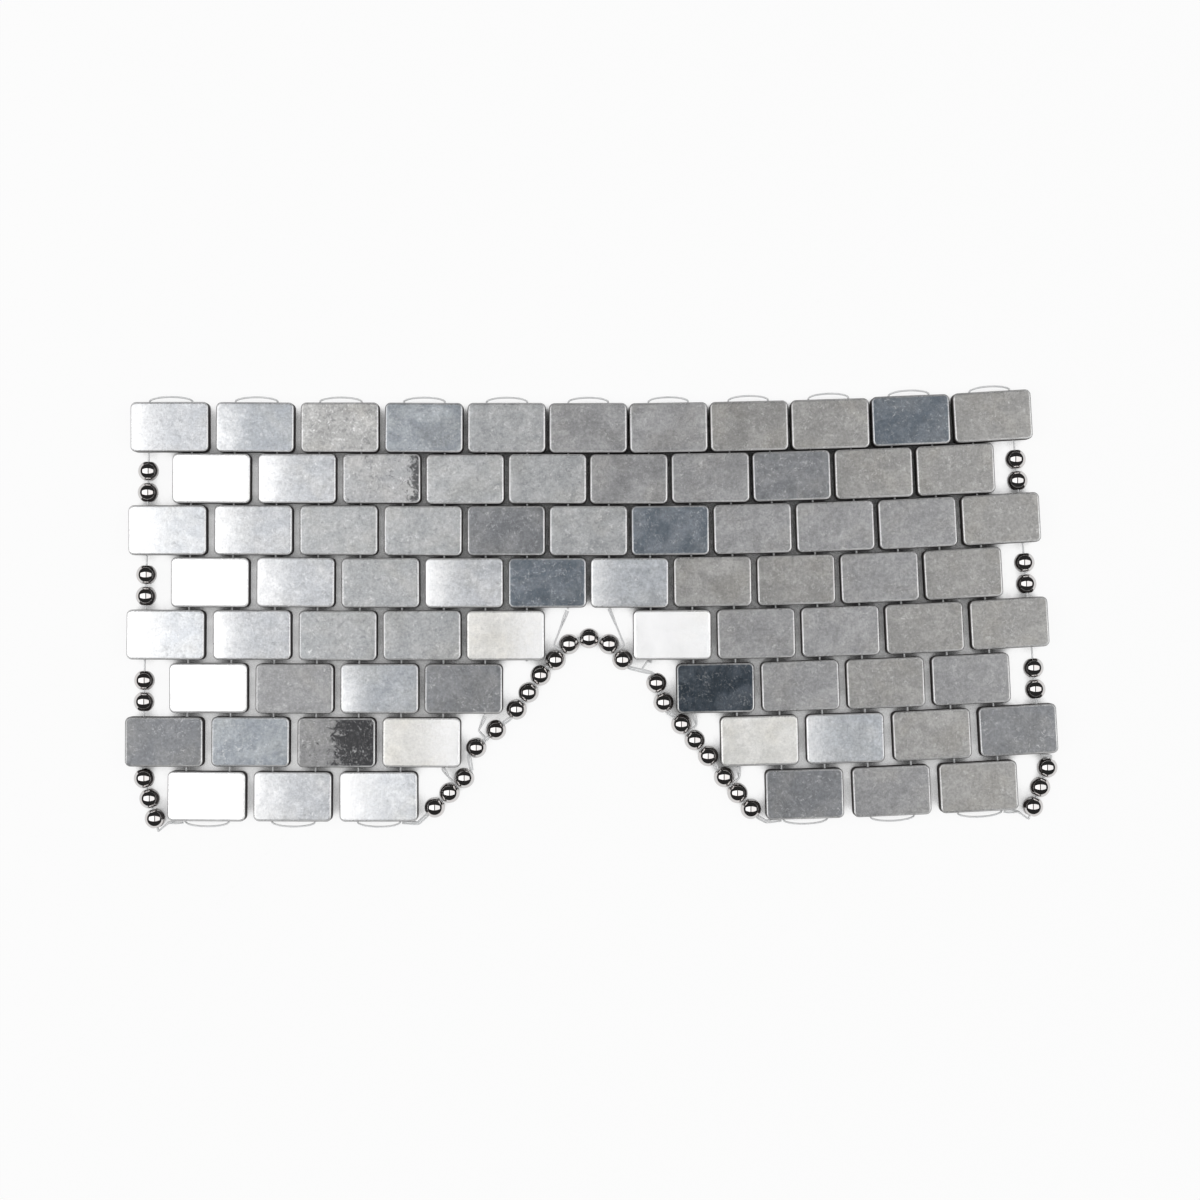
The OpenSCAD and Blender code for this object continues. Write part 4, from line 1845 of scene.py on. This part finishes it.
    def build(self, finish: bpy.types.Material) -> list[bpy.types.Object]:
        """Makes every piece of line.

        Args:
            finish: Material of the line.

        Returns:
            The pieces.
        """
        made = []
        for c in range(1, WEAVE.threads, 2):
            runs = self.thread_runs(c)
            made.append(self.piece(f"thread_{c:02d}", f"column_{c:02d}", runs, finish))
        for c in range(2, WEAVE.threads, 2):
            if WEAVE.has_tile(WEAVE.rows, c):
                runs = self.bottom_runs(c)
                made.append(self.piece(f"bottom_loop_{c:02d}", f"column_{c:02d}", runs, finish))
        for side, body in ((Side.LEFT, "column_08"), (Side.RIGHT, "column_14")):
            node = f"nose_string_{side.name.lower()}"
            made.append(self.piece(node, body, self.string_runs(side), finish))
        return made


# Studio


@dataclass(frozen=True)
class Softbox:
    """Large lamp with a plain even face, which looks straight down."""

    name: str
    place: tuple[float, float, float]
    size: tuple[float, float]
    radiance: float

    def build(self) -> bpy.types.Object:
        """Makes the lamp.

        Returns:
            The lamp, which the camera doesn't see.
        """
        data = bpy.data.lights.new(self.name, "AREA")
        data.shape = "RECTANGLE"
        data.size, data.size_y = self.size
        data.energy = self.radiance * math.pi * self.size[0] * self.size[1]
        lamp = bpy.data.objects.new(self.name, data)
        lamp.location = self.place
        lamp.visible_camera = False
        bpy.context.scene.collection.objects.link(lamp)
        return lamp


@dataclass(frozen=True)
class Table:
    """White table top, white for the eye and for mirrors, with painted shade in its narrow gaps.

    The painted shade in the gaps and round the mask is found by ambient occlusion. A pair holds the
    value for the eye and the one for a mirror, and painted glare makes the gaps paler towards the
    left of the mask. Lengths are in metres.
    """

    half: float = 3.0
    paper_share: float = 0.92
    samples: int = 12
    contact: tuple[float, float] = (0.0034, 0.022)
    dark_below: tuple[float, float] = (0.2, 0.1)
    white_above: tuple[float, float] = (0.5, 1.0)
    glare: tuple[float, float] = (-0.09, 0.01)
    glare_shift: tuple[float, float] = (-0.06, 0.03)
    lit_levels: tuple[float, float] = (0.18, 0.5)
    # Colour of the painted shade in the gaps.
    gap_shade_colour: Colour = (0.1, 0.1, 0.1)
    colour: Colour = (0.93, 0.93, 0.935)
    roughness: float = 0.9
    gloss: float = 0.1

    def build(self) -> None:
        """Lays the table under the mask's lowest point."""
        low, s = CAD_BOX[0][2], self.half
        corners = [(-s, -s, low), (s, -s, low), (s, s, low), (-s, s, low)]
        mesh = bpy.data.meshes.new("table")
        mesh.from_pydata(corners, [], [(0, 1, 2, 3)])
        table = bpy.data.objects.new("table", mesh)
        bpy.context.scene.collection.objects.link(table)
        mesh.materials.append(self.material())

    def material(self) -> bpy.types.Material:
        """Builds the shader.

        Returns:
            The material of the table.
        """
        n = Shader("white_table")
        n.shader.inputs["Roughness"].default_value = self.roughness
        n.shader.inputs["Specular IOR Level"].default_value = self.gloss
        paths = n.node("LightPath")
        glossy = (paths, "Is Glossy Ray")
        seen = n.maths("MAXIMUM", (paths, "Is Camera Ray"), glossy)
        seen = n.maths("MAXIMUM", seen, (paths, "Is Transmission Ray"))
        near = n.node("AmbientOcclusion")
        near.samples = self.samples
        n.feed(near, "Distance", n.ramp(glossy, 0.0, 1.0, self.contact))
        place = n.split((n.node("NewGeometry"), "Position"))
        dark = n.ramp(glossy, 0.0, 1.0, self.dark_below)
        dark = n.plus(dark, n.ramp((place, 0), *self.glare, self.glare_shift))
        white = n.ramp(glossy, 0.0, 1.0, self.white_above)
        # Painted shade: where ambient occlusion finds the gaps, the table's white fades to a dark
        # base colour, paler to the left by the painted glare.
        open_air = n.ramp((near, "AO"), dark, white, (0.0, self.paper_share))
        lit = n.ramp((near, "AO"), *self.lit_levels)
        n.feed(n.shader, "Base Color", n.mix(lit, self.gap_shade_colour, self.colour))
        blend = n.node("MixShader")
        n.feed(blend, 0, n.times(seen, open_air))
        n.feed(blend, 1, (n.shader, 0))
        n.feed(blend, 2, (n.node("Emission"), 0))
        n.feed(n.output, "Surface", (blend, 0))
        return n.material


@dataclass(frozen=True)
class Room:
    """Dim room with a pale wall all round, white for the eye.

    The wall shows in satin metal alone, and mirrors see the dim room.
    """

    dim: float = 0.03
    wall: tuple[float, float] = (0.7, 0.35)
    wall_level: float = 0.6
    eye_level: float = 1.0

    def build(self) -> None:
        """Makes the world of the scene."""
        world = bpy.data.worlds.new("room")
        world.use_nodes = True
        n = Wiring(world.node_tree)
        paths = n.node("LightPath")
        height = n.split((n.node("TexCoord"), "Generated"))
        wall = n.ramp((height, 2), *self.wall, (self.dim, self.wall_level))
        mirror = (paths, "Is Singular Ray")
        satin = n.maths("SUBTRACT", (paths, "Is Glossy Ray"), mirror, clamp=True)
        seen = n.ramp(satin, 0.0, 1.0, (self.dim, wall))
        level = n.ramp((paths, "Is Camera Ray"), 0.0, 1.0, (seen, self.eye_level))
        back = n.node("Background")
        back.inputs["Color"].default_value = (1.0, 1.0, 1.0, 1.0)
        n.feed(back, "Strength", level)
        n.feed(n.node("OutputWorld"), "Surface", (back, 0))
        bpy.context.scene.world = world


@dataclass(frozen=True)
class Studio:
    """Two softboxes over the table, and a camera straight overhead; lengths are in metres."""

    centre: tuple[float, float] = (0.00247, -0.0149)
    camera_height: float = 0.53
    face_height: float = 0.0038
    view_width: float = 0.25764
    nearest: float = 0.01
    lamps: tuple[Softbox, ...] = (
        Softbox("softbox_left", (-0.98, 0.0, 0.9), (1.8, 1.05), 1.72),
        Softbox("softbox_right", (0.98, 0.0, 0.9), (1.8, 1.05), 1.38),
    )

    def camera(self) -> None:
        """Places the camera over the mask and makes it the scene's own."""
        data = bpy.data.cameras.new("camera")
        data.sensor_fit = "HORIZONTAL"
        data.angle = 2 * math.atan(self.view_width / 2 / self.camera_height)
        data.clip_start = self.nearest
        camera = bpy.data.objects.new("camera", data)
        camera.location = (*self.centre, self.face_height + self.camera_height)
        bpy.context.scene.collection.objects.link(camera)
        bpy.context.scene.camera = camera

    def build(self) -> None:
        """Sets up the table, the light and the camera."""
        Table().build()
        Room().build()
        for lamp in self.lamps:
            lamp.build()
        self.camera()
        bpy.context.scene.view_settings.view_transform = "Standard"


# Building


BEAD_COLUMNS: dict[str, int] = {
    "edge_beads_left_top": 1, "edge_beads_left_middle": 1, "edge_beads_left_bottom": 1,
    "edge_beads_right_top": 21, "edge_beads_right_middle": 21, "edge_beads_right_bottom": 21,
    "corner_beads_left": 1, "corner_beads_right": 21,
    "nose_beads_left_lower": 7, "nose_beads_left_middle": 8, "nose_beads_left_upper": 9,
    "bridge_beads": 11,
    "nose_beads_right_upper": 13, "nose_beads_right_middle": 14, "nose_beads_right_lower": 15,
}  # fmt: skip


class EyeMask:
    """The whole mask."""

    def tiles(self) -> dict[tuple[int, int], Spot]:
        """Builds the tile columns.

        Returns:
            The place of each tile by row and column.
        """
        form = TileForm().drilled()
        finishes = {tone: tone.value.material() for tone in Tone}
        places = {}
        for number in range(1, WEAVE.threads):
            column = TileColumn(number)
            piece = column.build(form, finishes)
            places.update({(r, number): s for r, s in zip(column.rows(), column.spots)})
            log.info("%s: %d tiles", piece.name, len(column.spots))
        return places

    def beads(self) -> dict[str, list[Spot]]:
        """Builds the beads.

        Returns:
            The places of the beads by node.
        """
        finish = DarkMirror().material()
        places = {}
        for node, column in BEAD_COLUMNS.items():
            group = BeadGroup(node, f"column_{column:02d}")
            piece = group.build(finish)
            places[node] = group.spots
            log.info("%s: %d beads", piece.name, len(group.spots))
        return places

    def build(self) -> None:
        """Builds the tiles, the beads and the line."""
        work = ThreadWork(self.tiles(), self.beads())
        for piece in work.build(ClearNylon().material()):
            log.info("%s", piece.name)


def main() -> None:
    """Builds the mask and its studio."""
    logging.basicConfig(level=logging.INFO, format="%(name)s: %(message)s")
    EyeMask().build()
    Studio().build()


if __name__ == "__main__":
    main()
